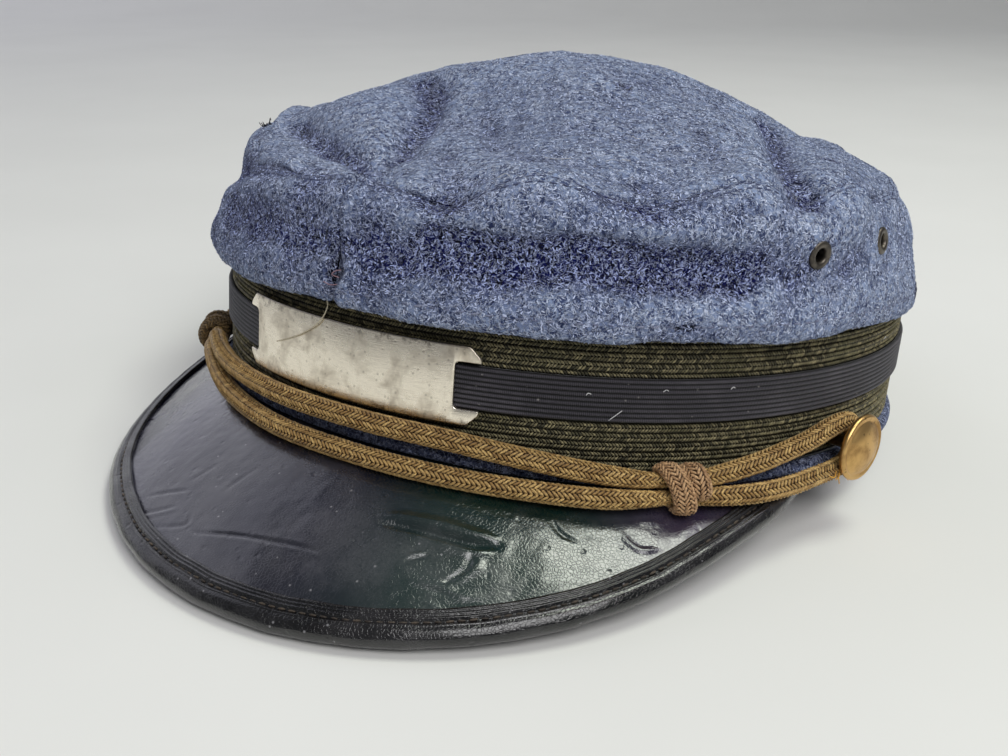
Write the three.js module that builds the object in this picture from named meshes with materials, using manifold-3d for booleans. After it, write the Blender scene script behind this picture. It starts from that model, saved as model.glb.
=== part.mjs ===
// A railroad conductor's cap: a soft wool crown on an upright braided band, a patent leather visor,
// a metal badge carried by a ribbon, and a looped chin cord held by two buttons.
// Millimetres and degrees. The cap is first drawn upright on its own band plane: +Z up, the visor
// towards -Y, the wearer's left towards +X, and angles run from the front round by the wearer's left.
// It is then tipped back to stand as it rests, on the visor's edge and the back of the band.

import * as THREE from 'three';
import Module from 'manifold-3d';
import { mergeVertices } from 'three/addons/utils/BufferGeometryUtils.js';

const wasm = await Module();
wasm.setup();

const GAP = 0.3;
// Small share of a surface, for measuring which way it faces
const NEARBY = 0.005;
// Length of the shapes that cut holes
const CUT_THROUGH = 12;

// How the cap stands: tipped back on to the band, its soft edges pressed flat where they touch
const REST_TILT = 6.55;
const REST_SQUASH = 0.8;

// Band, a nearly round oval, measured over the tops of its ribs
const BAND_HALF_WIDTH = 93.5;
const BAND_HALF_LENGTH = 98;
const BAND_TOP = 34.7;
const BAND_WALL = 2.4;
const BAND_RIB_DEPTH = 0.5;
const BAND_RIB_PITCH = 2.9;
const ROUND_STEPS = 42;

// Welt under the band, which rises a little over the visor
const WELT_RADIUS = 1.6;
const WELT_OUT = 0.3;
const WELT_HEIGHT = 1.6;
const WELT_FRONT_RISE = 2.8;
const WELT_RISE_ANGLE = 34;

// Ribbon round the band
const RIBBON_BOTTOM = 15.6;
const RIBBON_WIDTH = 9.8;
const RIBBON_WALL = 1;
const RIBBON_RIBS = 5;
const RIBBON_RIB_DEPTH = 0.35;

// Badge plate with an open notch at each end
const BADGE_HALF_ANGLE = 20.7;
const BADGE_BOTTOM = 12.1;
const BADGE_HEIGHT = 17.8;
const BADGE_WALL = 0.8;
const BADGE_CHAMFER = 2.6;
const BADGE_STEPS = 14;
const NOTCH_HEIGHT = 10.6;
const NOTCHES = [
  { angle: -BADGE_HALF_ANGLE, depth: 4 },
  { angle: BADGE_HALF_ANGLE, depth: 6 },
];

// Visor: a sloping plate whose outline falls away to both sides from a rounded tip
const VISOR_WALL = 2.4;
const VISOR_DEPTH = 50.8;
const VISOR_HALF_ANGLE = 71.5;
const VISOR_SLOPE = 34.4;
const VISOR_SIDE_SLOPE = 8;
const VISOR_DROP = 0.5;
const VISOR_TIP_ROUND = 0.2;
const VISOR_FULLNESS = 0.85;
const VISOR_BULGE = 1.6;
const VISOR_REACH = 0.92;
const VISOR_SEAT = 0.55;
const VISOR_STEPS = 30;
const VISOR_ROWS = 6;

// Folded binding over the visor's outer edge
const BINDING_WIDTH = 5.8;
const BINDING_WALL = 0.8;
const BINDING_NOSE = 1.6;
const BINDING_NOSE_SIDE = 1.2;
const BINDING_SHARE = 0.55;

// Chin cord, pinched where the knots grip it and looped round each button's shank
const CORD_RADIUS = 2.35;
const CORD_PINCH_RADIUS = 1.6;
const CORD_SIDES = 8;
const CORD_STEPS = 78;
const KNOT_THICKNESS = 2.6;
const KNOT_BACK_THICKNESS = 0.7;
const KNOT_HALF_LENGTH = 2.7;
const KNOT_STEPS = 14;
const KNOT_CLEAR = 0.5;
const KNOT_ROOM = 0.9;
const KNOT_GRIP = 5;
// How the knot thins towards its back, and its section: share of the thickness, share of the half length
const KNOT_TURN = 0.2;
const KNOT_SWELL = 1.6;
const KNOT_SECTION = [
  { rise: 0, side: 1 },
  { rise: 0.5, side: 0.8 },
  { rise: 1, side: 0 },
  { rise: 0.5, side: -0.8 },
  { rise: 0, side: -1 },
];
const KNOT_LEFT_ANGLE = 46;
const KNOT_RIGHT_ANGLE = -52;
const BUTTON_ANGLE = 74.6;
const BUTTON_HEIGHT = 7.2;
const BUTTON_LOOP = 4.9;
// Cord round a shank: its place on the turn, and how far off the band
const BUTTON_LOOP_TURNS = [
  { place: 60, out: 3.2 },
  { place: 0, out: 3.8 },
  { place: -60, out: 4.8 },
];
// Half section of a button: shank, back, rolled rim and domed face
const BUTTON_SHAPE = [
  { radius: 0, out: GAP },
  { radius: 1.6, out: GAP },
  { radius: 1.6, out: 7.5 },
  { radius: 6.4, out: 7.5 },
  { radius: 7.8, out: 8.1 },
  { radius: 8.1, out: 8.9 },
  { radius: 7.7, out: 9.5 },
  { radius: 6.9, out: 9.5 },
  { radius: 6.6, out: 9.8 },
  { radius: 4.4, out: 10.7 },
  { radius: 0, out: 11.3 },
];

// Route of the cord's two runs, from the wearer's right to the left: height and distance off the band
const CORD_ROUTE = [
  { angle: -64, upper: 7.6, upperOut: 4.2, lower: 1.7, lowerOut: 6.6 },
  { angle: -57, upper: 6.1, upperOut: 5, lower: 2.3, lowerOut: 6.9 },
  { angle: -52, upper: 5.8, upperOut: 5.2, lower: 2.5, lowerOut: 7 },
  { angle: -47, upper: 6, upperOut: 5, lower: 3, lowerOut: 6.3 },
  { angle: -41, upper: 8.2, upperOut: 4, lower: 3.4, lowerOut: 5.3 },
  { angle: -35, upper: 8.4, upperOut: 3.9, lower: 3.2, lowerOut: 5 },
  { angle: -25, upper: 8.5, upperOut: 3.9, lower: 2.3, lowerOut: 5.2 },
  { angle: -10, upper: 9.2, upperOut: 4.5, lower: 2, lowerOut: 6.1 },
  { angle: 5, upper: 9.6, upperOut: 4.6, lower: 2, lowerOut: 6.2 },
  { angle: 17, upper: 9.1, upperOut: 4.4, lower: 1.5, lowerOut: 6.4 },
  { angle: 28, upper: 7, upperOut: 4.2, lower: 1, lowerOut: 6.8 },
  { angle: 37, upper: 5, upperOut: 4.8, lower: 0.6, lowerOut: 7.6 },
  { angle: 42, upper: 4.2, upperOut: 5.2, lower: 0.6, lowerOut: 7.4 },
  { angle: 46, upper: 4, upperOut: 5.3, lower: 0.8, lowerOut: 7.2 },
  { angle: 50, upper: 4.2, upperOut: 5.2, lower: 0.6, lowerOut: 7.2 },
  { angle: 58, upper: 6.2, upperOut: 4.2, lower: 0.7, lowerOut: 7.8 },
  { angle: 66, upper: 9, upperOut: 3.6, lower: 1.3, lowerOut: 6.6 },
];

// Crown: control rows round the cap. The first four columns are distances outside the band's oval at the
// lower roll, the hollow above it, the shoulder and the edge seam. The last three are heights above the
// band of the edge seam and of two rings of the top panel.
const CROWN_WALL = 2;
const CROWN_CENTRE_RISE = 55;
const CROWN_ROWS = [
  { roll: 6, hollow: 3.5, shoulder: 6, edge: 0.5, edgeRise: 27.5, outerRise: 25.5, innerRise: 37 },
  { roll: 7, hollow: 1, shoulder: 8.5, edge: 1, edgeRise: 28.5, outerRise: 34, innerRise: 42.5 },
  { roll: 7, hollow: 1, shoulder: 8.5, edge: 1, edgeRise: 30, outerRise: 35.5, innerRise: 43.5 },
  { roll: 6, hollow: 3, shoulder: 5, edge: 0.5, edgeRise: 33.5, outerRise: 37, innerRise: 44 },
  { roll: 4, hollow: 1, shoulder: -2, edge: -2.5, edgeRise: 32.5, outerRise: 37, innerRise: 46 },
  { roll: 1.5, hollow: 0, shoulder: -3.5, edge: -5, edgeRise: 26, outerRise: 31, innerRise: 49.5 },
  { roll: 4.5, hollow: 3, shoulder: 2.5, edge: -3, edgeRise: 31, outerRise: 31, innerRise: 49 },
  { roll: 6, hollow: 4.5, shoulder: 6, edge: 1.5, edgeRise: 34, outerRise: 36, innerRise: 46 },
  { roll: 6, hollow: 3.5, shoulder: 6, edge: 0.5, edgeRise: 32, outerRise: 37, innerRise: 44 },
  { roll: 6.5, hollow: 2.5, shoulder: 6.5, edge: 0.5, edgeRise: 30, outerRise: 34.5, innerRise: 44 },
  { roll: 6, hollow: 4, shoulder: 5, edge: -1, edgeRise: 32, outerRise: 37, innerRise: 45 },
  { roll: 6.5, hollow: 3, shoulder: 6, edge: 0, edgeRise: 31, outerRise: 35, innerRise: 44.5 },
  { roll: 6, hollow: 4, shoulder: 7, edge: 0.5, edgeRise: 32, outerRise: 37, innerRise: 47 },
  { roll: 6, hollow: 2, shoulder: 6.5, edge: -1, edgeRise: 28.5, outerRise: 38.5, innerRise: 50 },
  { roll: 6, hollow: 0, shoulder: -2.5, edge: -4, edgeRise: 17, outerRise: 37, innerRise: 47 },
  { roll: 6, hollow: 2.5, shoulder: 2, edge: -2, edgeRise: 24, outerRise: 26, innerRise: 37.5 },
];
// Places of the control columns: share of the edge seam's rise, and share of the oval on the top panel
const ROLL_SHARE = 0.22;
const HOLLOW_SHARE = 0.47;
const SHOULDER_SHARE = 0.74;
const OUTER_RING = 0.74;
const INNER_RING = 0.42;
const CENTRE_RING = 0.16;
const FOOT_OUT = -2;
const LIP_OUT = 1.6;
const LIP_RISE = 0.9;
const SAG = 3.2;
const SAG_OUT = 0.8;
const SAG_SHARE = 0.7;
const ROLL_FULLNESS = 0.6;
const EDGE_AT = 0.625;
const EDGE_CROWDING = 1.5;
// Single waves, dents and puckers of the cloth: where they lie, how wide (degrees) and tall (share of the way
// up the crown) they are, and how far they lift and push the cloth
const EDGE_TALL = 0.066;
const CROWN_FOLDS = [
  { angle: -44, along: EDGE_AT, wide: 8, tall: EDGE_TALL, lift: -2.5, push: -1 },
  { angle: -2, along: EDGE_AT, wide: 7, tall: EDGE_TALL, lift: 1.4, push: 0 },
  { angle: 13.5, along: EDGE_AT, wide: 5.5, tall: EDGE_TALL, lift: -4.2, push: -1.5 },
  { angle: 26, along: EDGE_AT, wide: 6, tall: EDGE_TALL, lift: 3.4, push: 1 },
  { angle: 39.5, along: EDGE_AT, wide: 5, tall: EDGE_TALL, lift: -2.6, push: -1 },
  { angle: 53, along: EDGE_AT, wide: 5, tall: EDGE_TALL, lift: 2.2, push: 0.5 },
  { angle: 62, along: EDGE_AT, wide: 4, tall: EDGE_TALL, lift: -2.8, push: -1.5 },
  { angle: 74, along: EDGE_AT, wide: 6, tall: EDGE_TALL, lift: 2.6, push: 0.5 },
  { angle: 150, along: EDGE_AT, wide: 7, tall: EDGE_TALL, lift: 2, push: 0.5 },
  { angle: -42, along: 0.85, wide: 13, tall: 0.05, lift: -2.4, push: 0 },
  { angle: 85, along: 0.76, wide: 12, tall: 0.06, lift: -1.6, push: 0 },
  { angle: 205, along: EDGE_AT, wide: 6, tall: EDGE_TALL, lift: -2.5, push: -1 },
  { angle: 262, along: EDGE_AT, wide: 7, tall: EDGE_TALL, lift: -2.5, push: -1 },
];
const FRONT_SEAM = 1.5;
const BACK_SEAM = 180;
const SIDE_STEPS = 36;
const SIDE_ROWS = 11;
const TOP_ROWS = 7;
const INNER_ROWS = 3;
const SEAM_SHARE = 0.0012;
const CROWN_NORMAL_END = 0.97;
const SEAM_ANGLE = 0.09;

// Tear through the top panel beside the edge seam, at the wearer's front right
const TEAR = { angle: -58, along: 0.685, length: 7, width: 4, sides: 5, slant: 25 };

// Vent eyelets, two in each side of the crown
const EYELET_BORE = 1.4;
const EYELET_FLANGE = 3;
const EYELET_FLANGE_WALL = 0.6;
const EYELET_EDGE_WALL = 0.36;
const EYELET_LIFT = 0.55;
const EYELET_BARREL = 1.9;
const EYELET_REACH = 2.3;
const EYELETS = [
  { name: 'eyelet_left_front', angle: 63.5, up: 0.414 },
  { name: 'eyelet_left_back', angle: 79, up: 0.431 },
  { name: 'eyelet_right_front', angle: -63.5, up: 0.414 },
  { name: 'eyelet_right_back', angle: -79, up: 0.431 },
];

const BUTTON_SIDES = 14;
const EYELET_SIDES = 9;
const WELT_SIDES = 7;

const rad = THREE.MathUtils.degToRad;

function finish(color, roughness, metalness) {
  return new THREE.MeshStandardMaterial({ color, roughness, metalness });
}

const WOOL = finish(0x5f6b8c, 0.95, 0);
const BRAID = finish(0x2e2f22, 0.85, 0);
const CORDED_RIBBON = finish(0x2b2a33, 0.7, 0);
const NICKEL = finish(0xb9b4aa, 0.35, 1);
const PATENT = finish(0x14151a, 0.25, 0);
const GOLD_BRAID = finish(0xa27c41, 0.7, 0.1);
const BRASS = finish(0x9c7a42, 0.45, 1);
const DARK_METAL = finish(0x2c2a28, 0.5, 1);

// Direction straight out from the band's oval at an angle
function outward(angle) {
  const a = rad(angle);
  return new THREE.Vector3(Math.sin(a) / BAND_HALF_WIDTH, -Math.cos(a) / BAND_HALF_LENGTH, 0).normalize();
}

function onOval(angle, out, height) {
  const a = rad(angle);
  const base = new THREE.Vector3(BAND_HALF_WIDTH * Math.sin(a), -BAND_HALF_LENGTH * Math.cos(a), height);
  return base.addScaledVector(outward(angle), out);
}

function bell(x) {
  return Math.exp(-x * x);
}

// Shortest turn from one angle to another, -180 to 180
function turn(from, to) {
  return ((to - from + 540) % 360) - 180;
}

function weltHeight(angle) {
  return WELT_HEIGHT + WELT_FRONT_RISE * bell(turn(0, angle) / WELT_RISE_ANGLE);
}

// One closed body: shared points merged, empty triangles dropped, faces turned outwards
function solid(geometry) {
  geometry.deleteAttribute('normal');
  geometry.deleteAttribute('uv');
  const merged = mergeVertices(geometry, 1e-4);
  const position = merged.getAttribute('position');
  const corner = (i) => new THREE.Vector3().fromBufferAttribute(position, i);
  const faces = [];
  let volume = 0;
  for (let k = 0; k < merged.index.count; k += 3) {
    const [a, b, c] = [0, 1, 2].map((n) => merged.index.getX(k + n));
    if (a === b || b === c || c === a) continue;
    faces.push([a, b, c]);
    volume += corner(a).dot(corner(b).cross(corner(c)));
  }
  merged.setIndex(faces.map(([a, b, c]) => (volume < 0 ? [a, c, b] : [a, b, c])).flat());
  return merged;
}

// Triangles that close a flat or nearly flat loop of points
function capFaces(loop) {
  const normal = new THREE.Vector3();
  loop.forEach((p, i) => normal.add(new THREE.Vector3().crossVectors(p, loop[(i + 1) % loop.length])));
  const turnFlat = new THREE.Quaternion().setFromUnitVectors(normal.normalize(), new THREE.Vector3(0, 0, 1));
  const flat = loop.map((p) => p.clone().applyQuaternion(turnFlat)).map((p) => new THREE.Vector2(p.x, p.y));
  return THREE.ShapeUtils.triangulateShape(flat, []).map(([a, b, c]) => {
    const area = flat[b].clone().sub(flat[a]).cross(flat[c].clone().sub(flat[a]));
    return area > 0 ? [a, b, c] : [a, c, b];
  });
}

// Skin over a row of closed loops of points, joined up at the ends or capped
function loft(loops, closed) {
  const size = loops[0].length;
  const points = loops.flat().flatMap((p) => p.toArray());
  const faces = [];
  const spans = closed ? loops.length : loops.length - 1;
  for (let i = 0; i < spans; i++) {
    const here = i * size;
    const next = ((i + 1) % loops.length) * size;
    for (let j = 0; j < size; j++) {
      const k = (j + 1) % size;
      faces.push(here + j, next + j, next + k, here + j, next + k, here + k);
    }
  }
  if (!closed) {
    const last = (loops.length - 1) * size;
    capFaces(loops[0]).forEach(([a, b, c]) => faces.push(a, b, c));
    capFaces(loops.at(-1)).forEach(([a, b, c]) => faces.push(last + a, last + c, last + b));
  }
  const geometry = new THREE.BufferGeometry();
  geometry.setAttribute('position', new THREE.Float32BufferAttribute(points, 3));
  geometry.setIndex(faces);
  return solid(geometry);
}

function steps(count, from, to) {
  return Array.from({ length: count + 1 }, (_, i) => from + ((to - from) * i) / count);
}

function roundAngles(count) {
  return steps(count, 0, 360).slice(0, count);
}

function toManifold(geometry) {
  return new wasm.Manifold(new wasm.Mesh({
    numProp: 3,
    vertProperties: new Float32Array(geometry.getAttribute('position').array),
    triVerts: new Uint32Array(geometry.index.array),
  }));
}

function cut(geometry, tools) {
  const body = tools.reduce((rest, tool) => rest.subtract(toManifold(tool)), toManifold(geometry));
  const mesh = body.getMesh();
  const result = new THREE.BufferGeometry();
  result.setAttribute('position', new THREE.Float32BufferAttribute(mesh.vertProperties, 3));
  result.setIndex([...mesh.triVerts]);
  return solid(result);
}

// Ribbed wall between two heights: points up the outside, valley and crest in turn
function ribs(from, to, count, crest, depth) {
  return steps(count * 2, from, to).map((height, i) => ({ height, out: i % 2 ? crest : crest - depth }));
}

// Band: ribs below and above the ribbon, plain behind it
function bandLoop(angle) {
  const bottom = weltHeight(angle) + WELT_RADIUS + GAP;
  const ribbonTop = RIBBON_BOTTOM + RIBBON_WIDTH;
  const lowCount = Math.round((RIBBON_BOTTOM - WELT_HEIGHT - WELT_RADIUS) / BAND_RIB_PITCH);
  const highCount = Math.round((BAND_TOP - ribbonTop) / BAND_RIB_PITCH);
  const low = ribs(bottom, RIBBON_BOTTOM, lowCount, 0, BAND_RIB_DEPTH);
  const high = ribs(ribbonTop, BAND_TOP, highCount, 0, BAND_RIB_DEPTH);
  const outside = [...low, ...high].map((p) => onOval(angle, p.out, p.height));
  const inside = [BAND_TOP, bottom].map((height) => onOval(angle, -BAND_WALL, height));
  return [...outside, ...inside];
}

function ribbonLoop(angle) {
  const crest = GAP + RIBBON_WALL;
  const outside = ribs(RIBBON_BOTTOM, RIBBON_BOTTOM + RIBBON_WIDTH, RIBBON_RIBS, crest, RIBBON_RIB_DEPTH);
  const inside = [RIBBON_BOTTOM + RIBBON_WIDTH, RIBBON_BOTTOM].map((height) => ({ height, out: GAP }));
  return [...outside, ...inside].map((p) => onOval(angle, p.out, p.height));
}

function weltLoop(angle) {
  return roundAngles(WELT_SIDES).map((a) => onOval(
    angle, WELT_OUT - WELT_RADIUS * Math.sin(rad(a)), weltHeight(angle) + WELT_RADIUS * Math.cos(rad(a))));
}

// Badge: a plate bent to the band, chamfered at the corners and notched for the ribbon
function badgePlate() {
  const inner = GAP + RIBBON_WALL + GAP;
  const arc = rad(1) * (BAND_HALF_LENGTH + inner);
  const shoulder = BADGE_HALF_ANGLE - BADGE_CHAMFER / arc;
  const angles = [-BADGE_HALF_ANGLE, ...steps(BADGE_STEPS, -shoulder, shoulder), BADGE_HALF_ANGLE];
  const plate = loft(angles.map((angle) => {
    const trim = Math.abs(angle) > shoulder + 1e-6 ? BADGE_CHAMFER : 0;
    const low = BADGE_BOTTOM + trim;
    const high = BADGE_BOTTOM + BADGE_HEIGHT - trim;
    return [
      onOval(angle, inner + BADGE_WALL, low), onOval(angle, inner + BADGE_WALL, high),
      onOval(angle, inner, high), onOval(angle, inner, low),
    ];
  }), false);
  const middle = RIBBON_BOTTOM + RIBBON_WIDTH / 2;
  const tools = NOTCHES.map((notch) => {
    const tool = new THREE.BoxGeometry(2 * notch.depth, CUT_THROUGH, NOTCH_HEIGHT);
    tool.applyMatrix4(new THREE.Matrix4().makeRotationZ(rad(notch.angle)));
    tool.translate(...onOval(notch.angle, inner, middle).toArray());
    return solid(tool);
  });
  return cut(plate, tools);
}

// Visor surface: across from -1 to 1 between its ends, along from 0 at the band to 1 at the outer edge
function visorDepth(across) {
  const round = VISOR_TIP_ROUND;
  const fall = (Math.hypot(across, round) - round) / (Math.hypot(1, round) - round);
  return VISOR_DEPTH * Math.max(1 - fall, 0) ** VISOR_FULLNESS;
}

function visorPoint(across, along) {
  const angle = VISOR_HALF_ANGLE * across;
  const slope = rad(VISOR_SLOPE + VISOR_SIDE_SLOPE * across * across);
  const sunk = WELT_RADIUS + VISOR_SEAT + VISOR_WALL / 2;
  const root = onOval(angle, WELT_OUT - sunk * Math.sin(slope), weltHeight(angle) - sunk * Math.cos(slope));
  const depth = visorDepth(across);
  const start = weltHeight(angle) - VISOR_DROP;
  const edge = onOval(angle, depth * Math.cos(slope), start - depth * Math.sin(slope));
  const point = root.clone().lerp(edge, along);
  const lift = VISOR_BULGE * (depth / VISOR_DEPTH) * Math.sin(Math.PI * Math.min(along, 1));
  point.z += lift * Math.cos(slope);
  return point.addScaledVector(outward(angle), lift * Math.sin(slope));
}

function visorNormal(across, along) {
  const near = Math.min(Math.max(along, NEARBY), 1 - NEARBY);
  const down = visorPoint(across, near + NEARBY).sub(visorPoint(across, near - NEARBY));
  const side = visorPoint(across + NEARBY, near).sub(visorPoint(across - NEARBY, near));
  return new THREE.Vector3().crossVectors(down, side).normalize();
}

function visorLoop(across) {
  const shares = steps(VISOR_ROWS, 0, 1);
  const face = (along, off) => visorPoint(across, along).addScaledVector(visorNormal(across, along), off);
  const under = shares.map((along) => face(along, -VISOR_WALL / 2));
  const over = shares.map((along) => face(along, VISOR_WALL / 2)).reverse();
  return [...under, ...over];
}

// Binding: a strip folded round the edge, drawn by distance in from the edge and height off the plate
function bindingLoop(across) {
  const length = visorPoint(across, 0).distanceTo(visorPoint(across, 1));
  const width = Math.min(BINDING_WIDTH, BINDING_SHARE * length);
  const inner = VISOR_WALL / 2 + GAP;
  const outer = inner + BINDING_WALL;
  const profile = [
    [width, -outer], [width / 2, -outer], [0, -outer], [-BINDING_NOSE_SIDE, -inner], [-BINDING_NOSE, 0],
    [-BINDING_NOSE_SIDE, inner], [0, outer], [width / 2, outer], [width, outer],
    [width, inner], [width / 2, inner], [-GAP, inner], [-GAP, -inner], [width / 2, -inner], [width, -inner],
  ];
  const inwards = visorPoint(across, 0.95).sub(visorPoint(across, 1)).normalize();
  return profile.map(([inset, off]) => {
    const along = 1 - Math.max(inset, 0) / length;
    const point = visorPoint(across, along).addScaledVector(inwards, Math.min(inset, 0));
    return point.addScaledVector(visorNormal(across, along), off);
  });
}

// Chin cord: along the upper run, round one shank, back along the lower run and round the other
function cordCurve() {
  const upper = CORD_ROUTE.map((p) => onOval(p.angle, p.upperOut, p.upper));
  const lower = CORD_ROUTE.map((p) => onOval(p.angle, p.lowerOut, p.lower)).reverse();
  const loop = (side) => BUTTON_LOOP_TURNS.map(({ place, out }) => {
    const reach = (BUTTON_LOOP * Math.cos(rad(place))) / (rad(1) * BAND_HALF_WIDTH);
    return onOval(side * (BUTTON_ANGLE + reach), out, BUTTON_HEIGHT + BUTTON_LOOP * Math.sin(rad(place)));
  });
  const points = [...upper, ...loop(1), ...lower, ...loop(-1).reverse()];
  return new THREE.CatmullRomCurve3(points, true, 'centripetal');
}

function cordLoops() {
  const curve = cordCurve();
  const frames = curve.computeFrenetFrames(CORD_STEPS, true);
  const centres = curve.getSpacedPoints(CORD_STEPS);
  const grips = [KNOT_LEFT_ANGLE, KNOT_RIGHT_ANGLE];
  return centres.slice(0, CORD_STEPS).map((centre, i) => {
    const way = Math.atan2(centre.x / BAND_HALF_WIDTH, -centre.y / BAND_HALF_LENGTH);
    const angle = THREE.MathUtils.radToDeg(way);
    const grip = Math.max(...grips.map((at) => bell(turn(at, angle) / KNOT_GRIP)));
    const radius = CORD_RADIUS + (CORD_PINCH_RADIUS - CORD_RADIUS) * grip;
    return roundAngles(CORD_SIDES).map((a) => centre.clone()
      .addScaledVector(frames.normals[i], radius * Math.cos(rad(a)))
      .addScaledVector(frames.binormals[i], -radius * Math.sin(rad(a))));
  });
}

// Knot: a ring round both runs of the cord, thin where it passes behind them
function knotLoops(angle) {
  const run = CORD_ROUTE.find((p) => p.angle === angle);
  const along = onOval(angle + 0.5, 0, 0).sub(onOval(angle - 0.5, 0, 0)).normalize();
  const out = outward(angle);
  const up = new THREE.Vector3(0, 0, 1);
  const middle = new THREE.Vector2((run.upperOut + run.lowerOut) / 2, (run.upper + run.lower) / 2);
  const lean = Math.atan2(run.upper - run.lower, run.upperOut - run.lowerOut);
  const spread = Math.hypot(run.upper - run.lower, run.upperOut - run.lowerOut) / 2;
  const clear = CORD_PINCH_RADIUS + KNOT_CLEAR;
  const bore = (a, extra) => {
    const x = (spread + clear + extra) * Math.cos(a);
    const y = (clear + extra + KNOT_ROOM) * Math.sin(a);
    return new THREE.Vector2(x, y).rotateAround(new THREE.Vector2(), lean).add(middle);
  };
  return roundAngles(KNOT_STEPS).map((degrees) => {
    const a = -rad(degrees);
    const facing = Math.max(Math.cos(a + lean), -KNOT_TURN);
    const share = Math.min((KNOT_SWELL * (facing + KNOT_TURN)) / (1 + KNOT_TURN), 1);
    const thick = KNOT_BACK_THICKNESS + (KNOT_THICKNESS - KNOT_BACK_THICKNESS) * share;
    return KNOT_SECTION.map(({ rise, side }) => {
      const place = bore(a, thick * rise);
      const point = onOval(angle, 0, 0).addScaledVector(out, place.x).addScaledVector(up, place.y);
      return point.addScaledVector(along, KNOT_HALF_LENGTH * side);
    });
  });
}

// Button: a domed face with a rim on a short shank, standing straight out from the band
function button(side) {
  const profile = BUTTON_SHAPE.map((p) => new THREE.Vector2(p.radius, p.out));
  const geometry = new THREE.LatheGeometry(profile, BUTTON_SIDES);
  return standOut(geometry, onOval(side * BUTTON_ANGLE, 0, BUTTON_HEIGHT), outward(side * BUTTON_ANGLE));
}

// Turn a lathe's axis to a direction and set it on a point
function standOut(geometry, place, direction) {
  const turned = new THREE.Quaternion().setFromUnitVectors(new THREE.Vector3(0, 1, 0), direction);
  geometry.applyMatrix4(new THREE.Matrix4().compose(place, turned, new THREE.Vector3(1, 1, 1)));
  return solid(geometry);
}

// Crown surface: a smooth bicubic sheet over the control rows
function cubicWeights(u) {
  const early = 3 * u ** 3 - 6 * u ** 2 + 4;
  const late = -3 * u ** 3 + 3 * u ** 2 + 3 * u + 1;
  return [(1 - u) ** 3, early, late, u ** 3].map((w) => w / 6);
}

function crownColumns(row) {
  const rise = row.edgeRise;
  return [
    { share: 1, out: FOOT_OUT, up: 0 },
    { share: 1, out: LIP_OUT, up: LIP_RISE },
    { share: 1, out: row.roll * SAG_SHARE + SAG_OUT, up: -SAG },
    { share: 1, out: row.roll + ROLL_FULLNESS, up: ROLL_SHARE * rise },
    { share: 1, out: row.hollow, up: HOLLOW_SHARE * rise },
    { share: 1, out: row.shoulder, up: SHOULDER_SHARE * rise },
    { share: 1, out: row.edge, up: rise },
    { share: OUTER_RING, out: 0, up: row.outerRise },
    { share: INNER_RING, out: 0, up: row.innerRise },
    { share: CENTRE_RING, out: 0, up: CROWN_CENTRE_RISE },
    { share: 0, out: 0, up: CROWN_CENTRE_RISE },
  ];
}

const CROWN_GRID = CROWN_ROWS.map(crownColumns);
const CROWN_COLUMNS = CROWN_GRID[0].length;

// Weights of the columns at a share of the way from the band, 0, to the middle of the top, 1
function columnWeights(along) {
  const degree = 3;
  const spans = CROWN_COLUMNS - degree;
  const knot = (i) => Math.min(Math.max(i - degree, 0), spans) / spans;
  const t = Math.min(Math.max(along, 0), 1 - 1e-9);
  const inSpan = (i) => t >= knot(i) && t < knot(i + 1);
  let weights = Array.from({ length: CROWN_COLUMNS + degree }, (_, i) => (inSpan(i) ? 1 : 0));
  for (let d = 1; d <= degree; d++) {
    weights = weights.slice(0, -1).map((w, i) => {
      const left = knot(i + d) > knot(i) ? ((t - knot(i)) / (knot(i + d) - knot(i))) * w : 0;
      const width = knot(i + d + 1) - knot(i + 1);
      return left + (width > 0 ? ((knot(i + d + 1) - t) / width) * weights[i + 1] : 0);
    });
  }
  return weights;
}

function crownPoint(angle, along) {
  const count = CROWN_ROWS.length;
  const place = (((angle % 360) + 360) % 360) / (360 / count);
  const first = Math.floor(place);
  const rows = cubicWeights(place - first);
  const sum = { share: 0, out: 0, up: 0 };
  columnWeights(along).forEach((w, column) => rows.forEach((r, k) => {
    const control = CROWN_GRID[(first + k - 1 + count) % count][column];
    sum.share += w * r * control.share;
    sum.out += w * r * control.out;
    sum.up += w * r * control.up;
  }));
  CROWN_FOLDS.forEach((fold) => {
    const share = bell(turn(fold.angle, angle) / fold.wide) * bell((along - fold.along) / fold.tall);
    sum.up += fold.lift * share;
    sum.out += fold.push * share;
  });
  const base = onOval(angle, 0, 0).multiplyScalar(sum.share);
  base.addScaledVector(outward(angle), sum.out);
  return base.setZ(BAND_TOP + GAP + sum.up);
}

function crownNormal(angle, along) {
  const near = Math.min(Math.max(along, NEARBY), CROWN_NORMAL_END);
  const up = crownPoint(angle, near + NEARBY).sub(crownPoint(angle, near - NEARBY));
  const round = crownPoint(angle + 0.5, near).sub(crownPoint(angle - 0.5, near));
  return new THREE.Vector3().crossVectors(round, up).normalize();
}

function crownInside(angle, along) {
  if (along >= 1) return crownPoint(angle, 1).sub(new THREE.Vector3(0, 0, CROWN_WALL));
  return crownPoint(angle, along).addScaledVector(crownNormal(angle, along), -CROWN_WALL);
}

// Section of the cloth at an angle, with its rows crowded towards the edge seam
function crownLoop(angle, from, to, rows) {
  const fromEdge = from > 0;
  const crowd = (share) => (fromEdge ? share ** EDGE_CROWDING : 1 - (1 - share) ** EDGE_CROWDING);
  const outside = steps(rows, 0, 1).map((share) => crownPoint(angle, from + (to - from) * crowd(share)));
  const inside = steps(INNER_ROWS, to, from).map((along) => crownInside(angle, along));
  return [...outside, ...inside];
}

function eyeletTool(eyelet) {
  const radius = EYELET_BARREL + GAP;
  const hole = new THREE.CylinderGeometry(radius, radius, CUT_THROUGH, EYELET_SIDES);
  return standOut(hole, crownPoint(eyelet.angle, eyelet.up), crownNormal(eyelet.angle, eyelet.up));
}

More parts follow.
